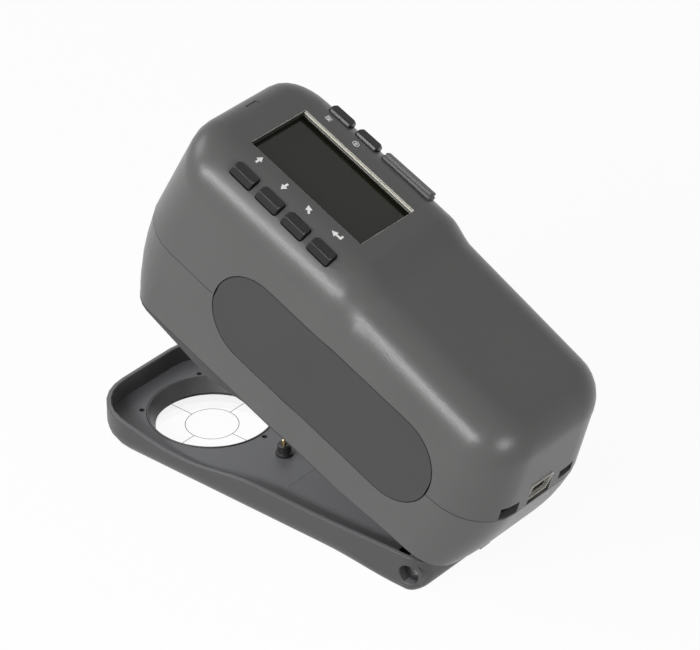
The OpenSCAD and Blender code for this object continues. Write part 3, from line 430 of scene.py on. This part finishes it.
# Painted highlight: a dim light tone for a second line of light along the display's far wall.
painted_highlight_dim = moulded("painted_highlight_dim", (0.14, 0.135, 0.12), (0.17, 0.165, 0.145), 0.4,
                     grain=1500.0, depth=5)
socket_shell = moulded("socket_shell", (0.4, 0.39, 0.35), (0.48, 0.47, 0.42), 0.4,
                       grain=1500.0, depth=5)
cell_sleeve = moulded("cell_sleeve", (0.03, 0.06, 0.16), (0.04, 0.08, 0.2), 0.25,
                      grain=900.0, depth=4)
ceramic_white = moulded("ceramic_white", (0.7, 0.69, 0.65), (0.78, 0.77, 0.73), 0.5,
                        grain=1200.0)
light_lens = moulded("light_lens", (0.045, 0.046, 0.044), (0.055, 0.056, 0.054), 0.3,
                     grain=800.0, depth=2)
print("plastics made")

# %% [markdown]
# ## Metals and boards
# Pins and springs are drawn steel, the trigger tip is turned brass, the chassis is plain aluminium.
# Drawing leaves fine lines, so a Mapping node squeezes the noise along one axis. A circuit board is
# solder mask over tracks, and a square Voronoi pattern hints at them at little cost.

# %% Metals and boards
LINES = 900.0
LINE_DEPTH = 6
LINE_DULL = 0.8
TRACKS = 260.0
TRACK_EDGE = 0.42
TRACK_DEPTH = 20


def metal(name, tone, rough, stretch=(1.0, 1.0, 1.0)):
    """Bare metal with fine lines along the axis that is least stretched."""
    fin = Finish(name)
    drawn = fin.node("ShaderNodeMapping", {}, {"Vector": fin.place, "Scale": stretch})
    lines = fin.noise(LINES, 3.0, drawn)
    dull = tuple(LINE_DULL * c for c in tone)
    return fin.output(fin.surface({
        "Base Color": fin.mix(lines, dull, tone),
        "Metallic": 1.0,
        "Roughness": rough + 0.12 * lines,
        "Normal": fin.bump(lines, LINE_DEPTH),
    }))


def board(name, dark, light):
    """Solder mask with faint tracks under it."""
    fin = Finish(name)
    inputs = {"Vector": fin.place, "Scale": TRACKS}
    lanes = fin.node("ShaderNodeTexVoronoi", {"distance": "CHEBYCHEV"}, inputs) > TRACK_EDGE
    return fin.output(fin.surface({
        "Base Color": fin.mix(lanes, dark, light),
        "Roughness": 0.34 + 0.1 * lanes,
        "Normal": fin.bump(lanes, TRACK_DEPTH),
    }))


plain_steel = metal("plain_steel", (0.56, 0.56, 0.57), 0.24, (1.0, 0.05, 1.0))
dark_screw = metal("dark_screw", (0.09, 0.09, 0.095), 0.36)
turned_brass = metal("turned_brass", (0.78, 0.58, 0.28), 0.2, (1.0, 1.0, 6.0))
bare_aluminium = metal("bare_aluminium", (0.6, 0.6, 0.62), 0.34, (0.08, 1.0, 1.0))
black_anodised = metal("black_anodised", (0.045, 0.045, 0.05), 0.4)
green_board = board("green_board", (0.012, 0.07, 0.03), (0.02, 0.11, 0.045))
print("metals and boards made")

# %% [markdown]
# ## Display, glass and ink
# The display is switched off: a dark olive face, polished and thinly coated. The target window is a
# clear disc that lets the table show through. Its ring and cross lines are ink on the upper face.
# They could be thin pieces, but lines of 0.3 mm in the same graph stay crisp and lie truly flat.

# %% Display and clear sheets
def display_face():
    """Dark olive face of the display, polished, with a thin coat."""
    fin = Finish("display_face")
    clouds = fin.noise(18.0)
    specks = fin.noise(3000.0)
    return fin.output(fin.surface({
        "Base Color": fin.mix(clouds, (0.006, 0.006, 0.003), (0.009, 0.009, 0.005)),
        "Roughness": 0.1 + 0.04 * specks,
        "Coat Weight": 0.06 + 0.04 * clouds,
        "Coat Roughness": 0.03,
        "Specular IOR Level": 0.25,
    }))


def clear_sheet(name, tint, ink=None):
    """Thin clear sheet: it shows what lies behind, with more gloss the flatter it is seen."""
    fin = Finish(name)
    gloss = fin.node("ShaderNodeBsdfGlossy", {}, {"Color": WHITE, "Roughness": 0.04})
    clear = fin.node("ShaderNodeBsdfTransparent", {}, {"Color": (*tint, 1)})
    facing = fin.node("ShaderNodeLayerWeight", {}, {"Blend": 0.3}, "Facing")
    shader = fin.node("ShaderNodeMixShader", {}, {0: 0.02 + 0.12 * facing, 1: clear, 2: gloss})
    if ink:
        black = fin.surface({"Base Color": (0.05, 0.05, 0.05, 1), "Roughness": 0.5})
        shader = fin.node("ShaderNodeMixShader", {}, {0: ink(fin), 1: shader, 2: black})
    return fin.output(shader)


print("clear sheets ready")

# %% Target lines and ink
TARGET_R = 11.6 * MM
LINE_HALF = 0.15 * MM
window_low, window_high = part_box("target_window")
WINDOW_MIDDLE = (window_low[2] + window_high[2]) / 2


def target_lines(fin):
    """A ring and four lines from it to the rim, on the upper face of the window."""
    x = fin.node("ShaderNodeSeparateXYZ", {}, {"Vector": fin.place}, "X")
    y, z = x.beside("Y"), x.beside("Z")
    away = (x * x + y * y).root()
    ring = abs(away - TARGET_R) < LINE_HALF
    cross = ((abs(x) < LINE_HALF) + (abs(y) < LINE_HALF)) * (away > TARGET_R)
    return ring.larger(cross) * (z > WINDOW_MIDDLE)


def mark_ink():
    """White ink of the marks beside the keys."""
    fin = Finish("mark_ink")
    specks = fin.noise(2500.0)
    return fin.output(fin.surface({
        "Base Color": fin.mix(specks, (0.8, 0.8, 0.79), (0.9, 0.9, 0.89)),
        "Roughness": 0.45 + 0.1 * specks,
    }))


display_olive = display_face()
target_clear = clear_sheet("target_clear", (1.0, 1.0, 1.0), target_lines)
lens_clear = clear_sheet("lens_clear", (0.94, 0.97, 0.98))
filter_tint = clear_sheet("filter_tint", (0.6, 0.35, 0.7))
white_ink = mark_ink()
print("glass and ink made")

# %% [markdown]
# ## Dressing the solids
# Most solids have the right shape already, inside the meter above all. They stay as they are and
# only need a finish in their material slot. The ones that show sharp rims are copied later.

# %% Finishes for the CAD nodes
DRESS = {
    shoe_plastic: ["shoe_tray"],
    black_plastic: ["target_ring", "trigger_post", "hinge_bushings", "lock_slide", "key_switches",
                    "main_board_chips", "beeper", "battery_holder", "power_jack", "switch_body",
                    "measuring_nose", "read_switch", "power_switch", "display_gasket"],
    target_clear: ["target_window"],
    turned_brass: ["trigger_pin", "board_spacers"],
    plain_steel: ["trigger_spring", "hinge_pin", "hinge_springs", "board_screws", "filter_motor",
                  "wheel_shaft"],
    label_film: ["shoe_label"],
    housing_paint: ["upper_housing", "lower_housing"],
    bar_plastic: ["blank_bar"],
    skirt_plastic: ["bottom_cover"],
    black_anodised: ["hinge_bracket", "optics_block", "filter_wheel"],
    grip_rubber: ["left_grip", "right_grip"],
    display_olive: ["display_window", "display_module"],
    green_board: ["keypad_board", "main_board", "rear_board", "detector_board"],
    key_plastic: ["up_key", "down_key", "back_key", "enter_key", "menu_key", "read_key"],
    light_lens: ["status_light"],
    bare_aluminium: ["chassis", "aperture_ring"],
    cell_sleeve: ["battery_cells"],
    socket_shell: ["data_jack"],
    lens_clear: ["lens", "lamp"],
    ceramic_white: ["lamp_socket"],
    filter_tint: ["filter_glasses"],
    dark_screw: ["housing_screws"],
}
for finish, names in DRESS.items():
    for name in names:
        wear(nodes[name], finish)
print("nodes dressed:", sum(len(names) for names in DRESS.values()))

# %% [markdown]
# ## The moulded shells
# A CAD shell is loose triangles with sharp rims. A copy is merged, its flat faces are joined again,
# and a bevel rolls every rim, so seams and openings catch a line of light as moulded plastic does.
# Modelled afresh, the shells could lose the size and the openings that the CAD fixes.

# %% Copies of solids
WELD = 0.002
CRISP = 38
COPLANAR = 0.03
SHELL_SHADE = 32
ROLL_SEGMENTS = 3
RIM_ZONE = 9.0


def copy_of(node, name, place=FLAT):
    """Merged copy of a solid, moved by a place and left open in edit mode."""
    piece = bpy.data.objects.new(name, nodes[node].data.copy())
    bpy.context.scene.collection.objects.link(piece)
    settle(piece, name, place)
    edit(piece)
    bpy.ops.mesh.customdata_custom_splitnormals_clear()
    bpy.ops.mesh.remove_doubles(threshold=WELD * MM)
    return piece


def crisp(edge):
    """True for an edge where two faces meet sharply."""
    return len(edge.link_faces) == 2 and edge.calc_face_angle() > math.radians(CRISP)


def shell(node, name, body, finish, roll, rims=()):
    """Dressed copy of a solid: all sharp edges get one roll, or only rims, each with its own."""
    piece = copy_of(node, name)
    if rims:
        choose("FACE", lambda m, f: m.z > RIM_ZONE)
    bpy.ops.mesh.dissolve_limited(angle_limit=math.radians(COPLANAR))
    for test, width in rims:
        choose("EDGE", lambda m, e: crisp(e) and test(m))
        bpy.ops.mesh.bevel(offset=width * MM, segments=ROLL_SEGMENTS, affect="EDGES",
                           clamp_overlap=False)
    done()
    if rims:
        smooth(piece, SHELL_SHADE)
    else:
        rolled(piece, roll, ROLL_SEGMENTS, CRISP, SHELL_SHADE, use_clamp_overlap=False,
               miter_outer="MITER_ARC")
    even_normals(piece)
    carry(piece, name, FLAT, finish, body)
    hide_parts(node)
    print(name, len(piece.data.polygons), "faces")


print("shell tools ready")

# %% [markdown]
# The shoe's floor and hinge ears hold many small edges that a bevel would tangle. So only its upper
# rim and the holes in its ears are rolled, and only faces above a height are joined again.

# %% Shells with rolled rims
RIM_HEIGHT = 10
EAR_R = 7.5
EAR_HOLE_R = 5
EAR_INNER = 39


def from_hinge(m):
    return math.hypot(m.x - HINGE_MM.x, m.z - HINGE_MM.z)


def on_shoe_rim(m):
    return m.z > RIM_HEIGHT and from_hinge(m) > EAR_R


def in_ear_hole(m):
    return from_hinge(m) < EAR_HOLE_R and abs(m.y) > EAR_INNER


shell("upper_housing", "top_shell", "instrument", housing_paint, 0.12)
shell("lower_housing", "under_shell", "instrument", housing_paint, 0.12)
shell("bottom_cover", "skirt", "instrument", skirt_plastic, 0.3)
shell("left_grip", "left_grip_pad", "instrument", grip_rubber, 0.25)
shell("right_grip", "right_grip_pad", "instrument", grip_rubber, 0.25)
shell("shoe_tray", "shoe_shell", "shoe", shoe_plastic, None,
      [(on_shoe_rim, 0.6), (in_ear_hole, 0.5)])
shell("target_ring", "target_rim", "shoe", ring_plastic, 0.2)
shell("blank_bar", "far_bar", "instrument", bar_plastic, 0.2)
shell("trigger_post", "post_shell", "shoe", black_plastic, 0.2)
shell("lock_slide", "lock_tab", "lock", black_plastic, 0.3)
shell("status_light", "light_slot", "instrument", light_lens, 0.4)

# %% [markdown]
# ## Springs
# A rigid spring would cut into its neighbours. Here each spring is a smooth steel copy of its
# solid that takes its place: the trigger spring rides on the shoe with a mesh of its own, and the
# hinge springs have their place stored in their mesh.

# %% Springs
SPRING_SHADE = 70


def spring(node, name):
    """Smooth copy of a spring that stands for the solid one."""
    piece = copy_of(node, name)
    done()
    smooth(piece, SPRING_SHADE)
    wear(piece, plain_steel)
    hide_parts(node)
    return piece


pressed = spring("trigger_spring", "pin_spring")
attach(pressed, "shoe")
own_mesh(pressed)
lifted = spring("hinge_springs", "lift_springs")
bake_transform(lifted)
print("springs made")

# %% [markdown]
# ## Cheeks of the skirt
# Below the near and far walls hangs a shallow cheek that fills the dip in the rim of the shoe when
# the meter is closed. It must follow the housing's curved outline, so it starts as a copy of the
# housing's lower rim. That is drawn down and cut by two slanting planes that meet at its low point.

# %% Cheeks
CHEEK_LOW = (24, 12.9)
CHEEK_ENDS = [(-24, 17.6), (46, 18.2)]
CHEEK_BACK = 60
CHEEK_DEPTH = 6
LOWER_RIM = 19.5


def not_lower_rim(m, face):
    return m.z > LOWER_RIM or face.normal.z > -0.8 or m.x > CHEEK_BACK


def cheeks():
    """The cheeks are deepest at one point and run out at two others, each of x and z."""
    piece = copy_of("lower_housing", "skirt_cheeks", OPEN.inverted())
    choose("FACE", not_lower_rim)
    bpy.ops.mesh.delete(type="FACE")
    bpy.ops.mesh.select_all(action="SELECT")
    draw_out(0, 0, -CHEEK_DEPTH)
    low_x, low_z = CHEEK_LOW
    for x, z in CHEEK_ENDS:
        run = Vector((x - low_x, 0, z - low_z))
        down = Vector((run.z, 0, -run.x)) if run.x > 0 else Vector((-run.z, 0, run.x))
        bpy.ops.mesh.select_all(action="SELECT")
        bpy.ops.mesh.bisect(plane_co=Vector((low_x, 0, low_z)) * MM, plane_no=down.normalized(),
                            use_fill=True, clear_outer=True)
    bpy.ops.mesh.select_all(action="SELECT")
    bpy.ops.mesh.normals_make_consistent(inside=False)
    done()
    rolled(piece, 0.2, shade=35)
    carry(piece, "skirt_cheeks", OPEN, skirt_plastic, "instrument")
    print("cheeks", len(piece.data.polygons), "faces")


cheeks()

# %% [markdown]
# ## Places on the rolled edge
# The keys and the printed marks sit where the flat top rolls down into the sides. `on_edge` gives
# such a place: its origin lies on the surface, its Z points straight out of it. Snapping by hand
# would do the same, but the edge is a plain arc, so its slope can be worked out.

# %% Places on the rolled edge
HEAD_HALF = 41.6
SIDE_LEAN = 0.03
EDGE_R = 21.0
EDGE_START = HEAD_HALF - SIDE_LEAN * (TOP - SEAM - EDGE_R) - EDGE_R
KEY_FIRST = -4.2
KEY_PITCH = 15.04
KEY_ROW = HEAD_HALF - 10.9
KEY_STEPS = 3
KEY_FLARE = math.atan(1 / (KEY_STEPS * KEY_PITCH))


def on_edge(x, y, turn=0.0):
    """Place on the top or its rolled edge, turned about the vertical first."""
    side = 1 if y > 0 else -1
    tilt = math.asin(max(0.0, abs(y) - EDGE_START) / EDGE_R)
    spot = Vector((x, y, TOP - EDGE_R * (1 - math.cos(tilt)))) * MM
    roll = Matrix.Rotation(-side * tilt, 4, "X")
    return OPEN @ Matrix.Translation(spot) @ Matrix.Rotation(turn, 4, "Z") @ roll


def key_spot(i, side):
    """Place of key i in the near or far row; each row moves out by 1 mm from first to last."""
    flare = (i - KEY_STEPS / 2) / KEY_STEPS
    return on_edge(KEY_FIRST + i * KEY_PITCH, side * (KEY_ROW + flare), side * KEY_FLARE)


print("edge starts", round(EDGE_START, 2), "mm from the middle")

# %% [markdown]
# ## Key caps
# A cap is a glossy black block cut like a hipped roof, so that its ridge shows as a line of light.
# It could be lofted from outlines. Here a cube gets rounded corners and four bisect planes, because
# each slope is then one number, and the last bevel softens all cuts alike.

# %% Key caps
CAP = (11.6, 6.2)
CAP_FOOT = -1.2
CAP_TOP = 2.95
CAP_CORNER = 0.9
CAP_ROLL = 0.4
RIDGE = 0.3
RIDGE_END = 4.7
INNER_SLOPE, OUTER_SLOPE, END_SLOPE = 27, 40, 42


def block(size, middle):
    """Cube of a size and middle in millimetres, ready for edit mode."""
    bpy.ops.object.select_all(action="DESELECT")
    bpy.ops.mesh.primitive_cube_add(size=MM, location=Vector(middle) * MM, scale=size)
    bpy.ops.object.transform_apply(location=True, rotation=False, scale=True)
    return bpy.context.object


def upright(height):
    """Test for edges that rise by more than a height in millimetres."""
    return lambda m, e: abs(e.verts[0].co.z - e.verts[1].co.z) > height * MM


def key_cap(word, i, side):
    piece = block((*CAP, CAP_TOP - CAP_FOOT), (0, 0, (CAP_TOP + CAP_FOOT) / 2))
    edit(piece)
    choose("EDGE", upright(1))
    bpy.ops.mesh.bevel(offset=CAP_CORNER * MM, segments=4, affect="EDGES")
    cuts = [((0, side * RIDGE), (0, -side), INNER_SLOPE), ((0, side * RIDGE), (0, side), OUTER_SLOPE),
            ((RIDGE_END, 0), (1, 0), END_SLOPE), ((-RIDGE_END, 0), (-1, 0), END_SLOPE)]
    for spot, away, slope in cuts:
        steep = math.radians(slope)
        slant = (math.sin(steep) * away[0], math.sin(steep) * away[1], math.cos(steep))
        bpy.ops.mesh.select_all(action="SELECT")
        bpy.ops.mesh.bisect(plane_co=Vector((*spot, CAP_TOP)) * MM, plane_no=slant,
                            use_fill=True, clear_outer=True)
    done()
    rolled(piece, CAP_ROLL, 4, limit=25, shade=35)
    even_normals(piece)
    carry(piece, word + "_cap", key_spot(i, side), key_plastic, word)
    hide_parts(word + "_key")


KEYS = {"up": (0, -1), "down": (1, -1), "back": (2, -1), "enter": (3, -1),
        "menu": (0, 1), "read": (1, 1)}
for word, (i, side) in KEYS.items():
    key_cap(word, i, side)
print("caps made:", len(KEYS))

# %% [markdown]
# ## Printed marks
# Each near key has a white arrow beside it. An arrow starts as a filled triangle. Its base edge is
# cut in three, and the middle third is drawn out as the shaft. A text object could hold an arrow,
# but it would need a font. A hair of height keeps the ink off the paint.

# %% Arrows
INK_H = 0.05
INK_SINK = 0.02
ARROW_R = 1.7
ARROW_BASE = -0.85
ARROW_TAIL = -2.7
ARROW_SHIFT = 0.7
HOOK_DROP = 1.0
HOOK_REACH = 1.2
NEAR = 0.01


def at_base(m, edge):
    return abs(m.y - ARROW_BASE) < NEAR and abs(m.x) < NEAR


def at_hook(m, edge):
    return m.x > 0.4 and ARROW_TAIL - 0.9 < m.y < ARROW_TAIL - 0.2


def flat_disc(vertices, radius):
    """Filled polygon with a radius in millimetres, open in edit mode."""
    bpy.ops.object.select_all(action="DESELECT")
    bpy.ops.mesh.primitive_circle_add(vertices=vertices, radius=radius * MM, fill_type="NGON")
    edit(bpy.context.object)
    return bpy.context.object


def raise_ink(shift=0.0):
    """Sink a flat mark a hair into the paint and draw it up to the height of the ink."""
    bpy.ops.mesh.select_all(action="SELECT")
    bpy.ops.transform.translate(value=(0, shift * MM, -INK_SINK * MM))
    draw_out(0, 0, INK_H + INK_SINK)
    bpy.ops.mesh.normals_make_consistent(inside=False)
    done()


def arrow(name, x, y, heading, hook=False):
    piece = flat_disc(3, ARROW_R)
    choose("EDGE", at_base)
    bpy.ops.mesh.subdivide(number_cuts=2)
    choose("EDGE", at_base)
    draw_out(0, ARROW_TAIL - ARROW_BASE, 0)
    if hook:
        draw_out(0, -HOOK_DROP, 0)
        choose("EDGE", at_hook)
        draw_out(HOOK_REACH, 0, 0)
    raise_ink(ARROW_SHIFT)
    spot = on_edge(x, y) @ Matrix.Rotation(math.radians(heading), 4, "Z")
    carry(piece, name, spot, white_ink, "instrument")


arrow("up_mark", -5.7, -21.0, 0)
arrow("down_mark", 9.9, -22.0, 180)
arrow("back_mark", 24.0, -22.3, 45)
arrow("enter_mark", 39.2, -22.0, 90, hook=True)
print("arrows printed")

# %% [markdown]
# The two far keys carry plain marks: three bars for a list, and a ring round a dot for a reading.
# The bars are three blocks joined into one piece. The ring is a disc with two insets, and the faces
# between them are deleted, which leaves ring and dot on one centre.

# %% Bars and ring
BAR = (2.8, 0.45, INK_H + 2 * INK_SINK)
BAR_PITCH = 0.95
BAR_CORNER = 0.15
RING_R = 1.6
RING_W = 0.4
RING_SPACE = 0.55
SPACE_INNER, SPACE_OUTER = 0.7, 1.15


def bars(x, y):
    pieces = [block(BAR, (0, BAR_PITCH * (k - 1), INK_H / 2 - INK_SINK)) for k in range(3)]
    only(pieces[0])
    for piece in pieces:
        piece.select_set(True)
    bpy.ops.object.join()
    edit(pieces[0])
    choose("EDGE", upright(NEAR))
    bpy.ops.mesh.bevel(offset=BAR_CORNER * MM, segments=3, affect="EDGES")
    done()
    carry(pieces[0], "menu_mark", on_edge(x, y), white_ink, "instrument")


def ring_and_dot(x, y):
    piece = flat_disc(40, RING_R)
    bpy.ops.mesh.inset(thickness=RING_W * MM)
    bpy.ops.mesh.inset(thickness=RING_SPACE * MM)
    choose("FACE", lambda m, f: SPACE_INNER < m.length < SPACE_OUTER)
    bpy.ops.mesh.delete(type="FACE")
    raise_ink()
    carry(piece, "read_mark", on_edge(x, y), white_ink, "instrument")


bars(-5.9, 22.4)
ring_and_dot(10.0, 22.2)
print("far marks printed")

# %% [markdown]
# ## Lining of the display
# A dark hoop lines the opening under a thin pale rim. Each is a block without top and bottom that
# Solidify thickens inwards, which keeps all four walls one width. Two strips run along the far
# wall: a pale one under the rim and a dim one near the face. The pale rim and both strips are
# painted highlights: their light tones stand for the light that the rim and the far wall catch.
# The strips' low ridges also catch light as a bent edge does.

# %% Display lining
DISPLAY = (63.0, 34.0)
DISPLAY_X = 17.0
LINING_FIT = 0.04
LINING_T = 0.25
LINING_ROLL = 0.08
STRIP_END = 0.4
STRIP_T = 0.5
STRIP_RIDGE = 0.12
STRIP_ROLL = 0.06


def hoop(name, low, high, finish):
    """Lining of the opening between two heights."""
    size = (DISPLAY[0] - LINING_FIT, DISPLAY[1] - LINING_FIT, high - low)
    piece = block(size, (DISPLAY_X, 0, (low + high) / 2))
    edit(piece)
    choose("FACE", lambda m, f: abs(f.normal.z) > LEVEL)
    bpy.ops.mesh.delete(type="FACE")
    done()
    modify(piece, "SOLIDIFY", thickness=LINING_T * MM, offset=-1)
    rolled(piece, LINING_ROLL)
    carry(piece, name, OPEN, finish, "instrument")


def far_painted_highlight(name, low, high, finish):
    """Strip along the far wall, its face drawn in to a low ridge, in a tone painted as a highlight.
    """
    size = (DISPLAY[0] - 2 * STRIP_END, STRIP_T, high - low)
    piece = block(size, (DISPLAY_X, DISPLAY[1] / 2 - STRIP_T, (low + high) / 2))
    edit(piece)
    choose("FACE", lambda m, f: f.normal.y < -LEVEL)
    bpy.ops.mesh.inset(thickness=STRIP_RIDGE * MM)
    bpy.ops.transform.translate(value=(0, -STRIP_RIDGE * MM, 0))
    done()
    rolled(piece, STRIP_ROLL)
    carry(piece, name, OPEN, finish, "instrument")


# The pale rim and the two strips on the far wall are painted highlights.
hoop("rim_painted_highlight", TOP - 0.5, TOP - 0.15, painted_highlight_pale)
hoop("wall_lining", TOP - 2.98, TOP - 0.5, wall_plastic)
far_painted_highlight("far_painted_highlight", TOP - 1.35, TOP - 0.5, painted_highlight_pale)
# The dim strip is a painted highlight too: a second line of light on the far wall.
far_painted_highlight("far_dim_painted_highlight", TOP - 2.5, TOP - 2.0, painted_highlight_dim)
print("lining made")

# %% [markdown]
# ## The data socket
# A pale collar brings the socket out to the rear face. A dark core fills it: a block whose mouth is
# inset and pushed in, which is quicker than cutting a hole and leaves clean walls. Eight sprung
# strips lie under its roof, each a block whose tip is drawn out and down.

# %% Data socket
SOCKET = (12.0, 8.6)
SOCKET_AT = (-1.5, 60.2)
MOUTH = 157.5
COLLAR_EDGE = 0.95
COLLAR_REACH = 1.0
COLLAR_ROLL = 0.25
CORE_FIT = 0.1
CORE_WALL = 0.5
CORE_BACK = 0.5
CORE_DEPTH = 9.5
CORE_HOLLOW = 8.5
CORE_ROLL = 0.12


def collar():
    size = (COLLAR_REACH, SOCKET[0] + 2 * COLLAR_EDGE, SOCKET[1] + 2 * COLLAR_EDGE)
    piece = block(size, (MOUTH + COLLAR_REACH / 2, *SOCKET_AT))
    edit(piece)
    choose("FACE", lambda m, f: abs(f.normal.x) > LEVEL)
    bpy.ops.mesh.delete(type="FACE")
    done()
    modify(piece, "SOLIDIFY", thickness=COLLAR_EDGE * MM, offset=-1)
    rolled(piece, COLLAR_ROLL, 3)
    carry(piece, "socket_collar", OPEN, socket_shell, "instrument")


def core():
    size = (CORE_DEPTH, SOCKET[0] - CORE_FIT, SOCKET[1] - CORE_FIT)
    piece = block(size, (MOUTH - CORE_BACK - CORE_DEPTH / 2, *SOCKET_AT))
    edit(piece)
    choose("FACE", lambda m, f: f.normal.x > LEVEL)
    bpy.ops.mesh.inset(thickness=CORE_WALL * MM)
    draw_out(-CORE_HOLLOW, 0, 0)
    done()
    rolled(piece, CORE_ROLL)
    carry(piece, "socket_core", OPEN, black_plastic, "instrument")


collar()
core()
print("socket made")

# %% Contacts
CONTACTS = 8
CONTACT = (7.0, 0.55, 0.3)
CONTACT_X = 151.5
CONTACT_UP = 3.3
CONTACT_PITCH = 1.2
CONTACT_ROLL = 0.06


def contact(k):
    across = CONTACT_PITCH * (k - (CONTACTS - 1) / 2)
    piece = block(CONTACT, (CONTACT_X, SOCKET_AT[0] + across, SOCKET_AT[1] + CONTACT_UP))
    edit(piece)
    choose("FACE", lambda m, f: f.normal.x > LEVEL)
    draw_out(1.0, 0, -0.5)
    done()
    rolled(piece, CONTACT_ROLL)
    carry(piece, "contact_%d" % k, OPEN, turned_brass, "instrument")


for k in range(CONTACTS):
    contact(k)
print("contacts made:", CONTACTS)

# %% [markdown]
# ## Floor and room
# The meter stands on a plain pale floor. For the camera, for gloss and for clear sheets the floor
# and the room count as nearly white or white. All other rays meet a matt floor and a dim room, so a
# white picture costs no extra light on the object and the floor keeps a soft shadow.

# %% Floor and room
FLOOR_SIZE = 8
FLOOR_DROP = 0.1 * MM
FLOOR_TONE = (0.86, 0.86, 0.86, 1)
FLOOR_WHITE = 0.95
ROOM_LIGHT = 0.11


def pale_floor():
    fin = Finish("pale_floor")
    matt = fin.node("ShaderNodeBsdfDiffuse", {}, {"Color": FLOOR_TONE})
    glow = fin.node("ShaderNodeEmission", {}, {"Color": WHITE, "Strength": 1.0})
    seen = fin.backdrop_rays() * FLOOR_WHITE
    return fin.output(fin.node("ShaderNodeMixShader", {}, {0: seen, 1: matt, 2: glow}))


def studio_room():
    world = bpy.data.worlds.new("studio")
    bpy.context.scene.world = world
    sky = Graph(world)
    room = sky.node("ShaderNodeBackground", {}, {"Color": WHITE, "Strength": ROOM_LIGHT})
    white = sky.node("ShaderNodeBackground", {}, {"Color": WHITE, "Strength": 1.0})
    both = sky.node("ShaderNodeMixShader", {}, {0: sky.backdrop_rays(), 1: room, 2: white})
    sky.node("ShaderNodeOutputWorld", {}, {"Surface": both})


bpy.ops.object.select_all(action="DESELECT")
bpy.ops.mesh.primitive_plane_add(size=FLOOR_SIZE, location=(0, 0, -FLOOR_DROP))
floor = settle(bpy.context.object, "floor", FLAT)
wear(floor, pale_floor())
studio_room()
bpy.context.scene.view_settings.view_transform = "Standard"
print("floor and room made")

# %% [markdown]
# ## Lamps
# Three soft boxes light the meter. A long, narrow one on the near side draws the streak along the
# top edge and keeps the sides lighter than the top. A square one in front and a small, low one
# behind fill in. Point lamps would be simpler, but they leave hard spots on satin paint.

# %% Lamps
LAMP_AIM = Vector((0.06, 0, 0.06))


def lamp(name, place, size, watts):
    """Rectangular soft box that looks at the meter."""
    bpy.ops.object.select_all(action="DESELECT")
    bpy.ops.object.light_add(type="AREA", location=place)
    made = bpy.context.object
    made.name = name
    made.data.shape = "RECTANGLE"
    made.data.size, made.data.size_y = size
    made.data.energy = watts
    made.rotation_euler = (LAMP_AIM - Vector(place)).to_track_quat("-Z", "Y").to_euler()


lamp("near_softbox", (-0.03, -1.3, 0.78), (1.3, 0.17), 21.0)
lamp("front_softbox", (-1.1, -0.5, 1.0), (0.7, 0.7), 7.0)
lamp("rear_softbox", (1.3, -0.3, 0.3), (0.42, 0.36), 5.3)
print("lamps set")

# %% [markdown]
# ## Camera
# The camera stands well back with a long lens, as for a catalogue picture, so edges that run away
# from it close in only a little. Its place was solved from the picture's straight edges and circle.

# %% Camera
EYE = Vector((0.9893, -1.0878, 0.9943))
AIM = Vector((0.05856, 0.02244, 0.06517))
SENSOR = 36
LENS = 211.97
bpy.ops.object.select_all(action="DESELECT")
bpy.ops.object.camera_add(location=EYE)
camera = bpy.context.object
camera.rotation_euler = (AIM - EYE).to_track_quat("-Z", "Y").to_euler()
camera.data.sensor_width = SENSOR
camera.data.lens = LENS
bpy.context.scene.camera = camera
print("camera", [round(v, 3) for v in EYE])

# %% [markdown]

# %% End
print("end of script")
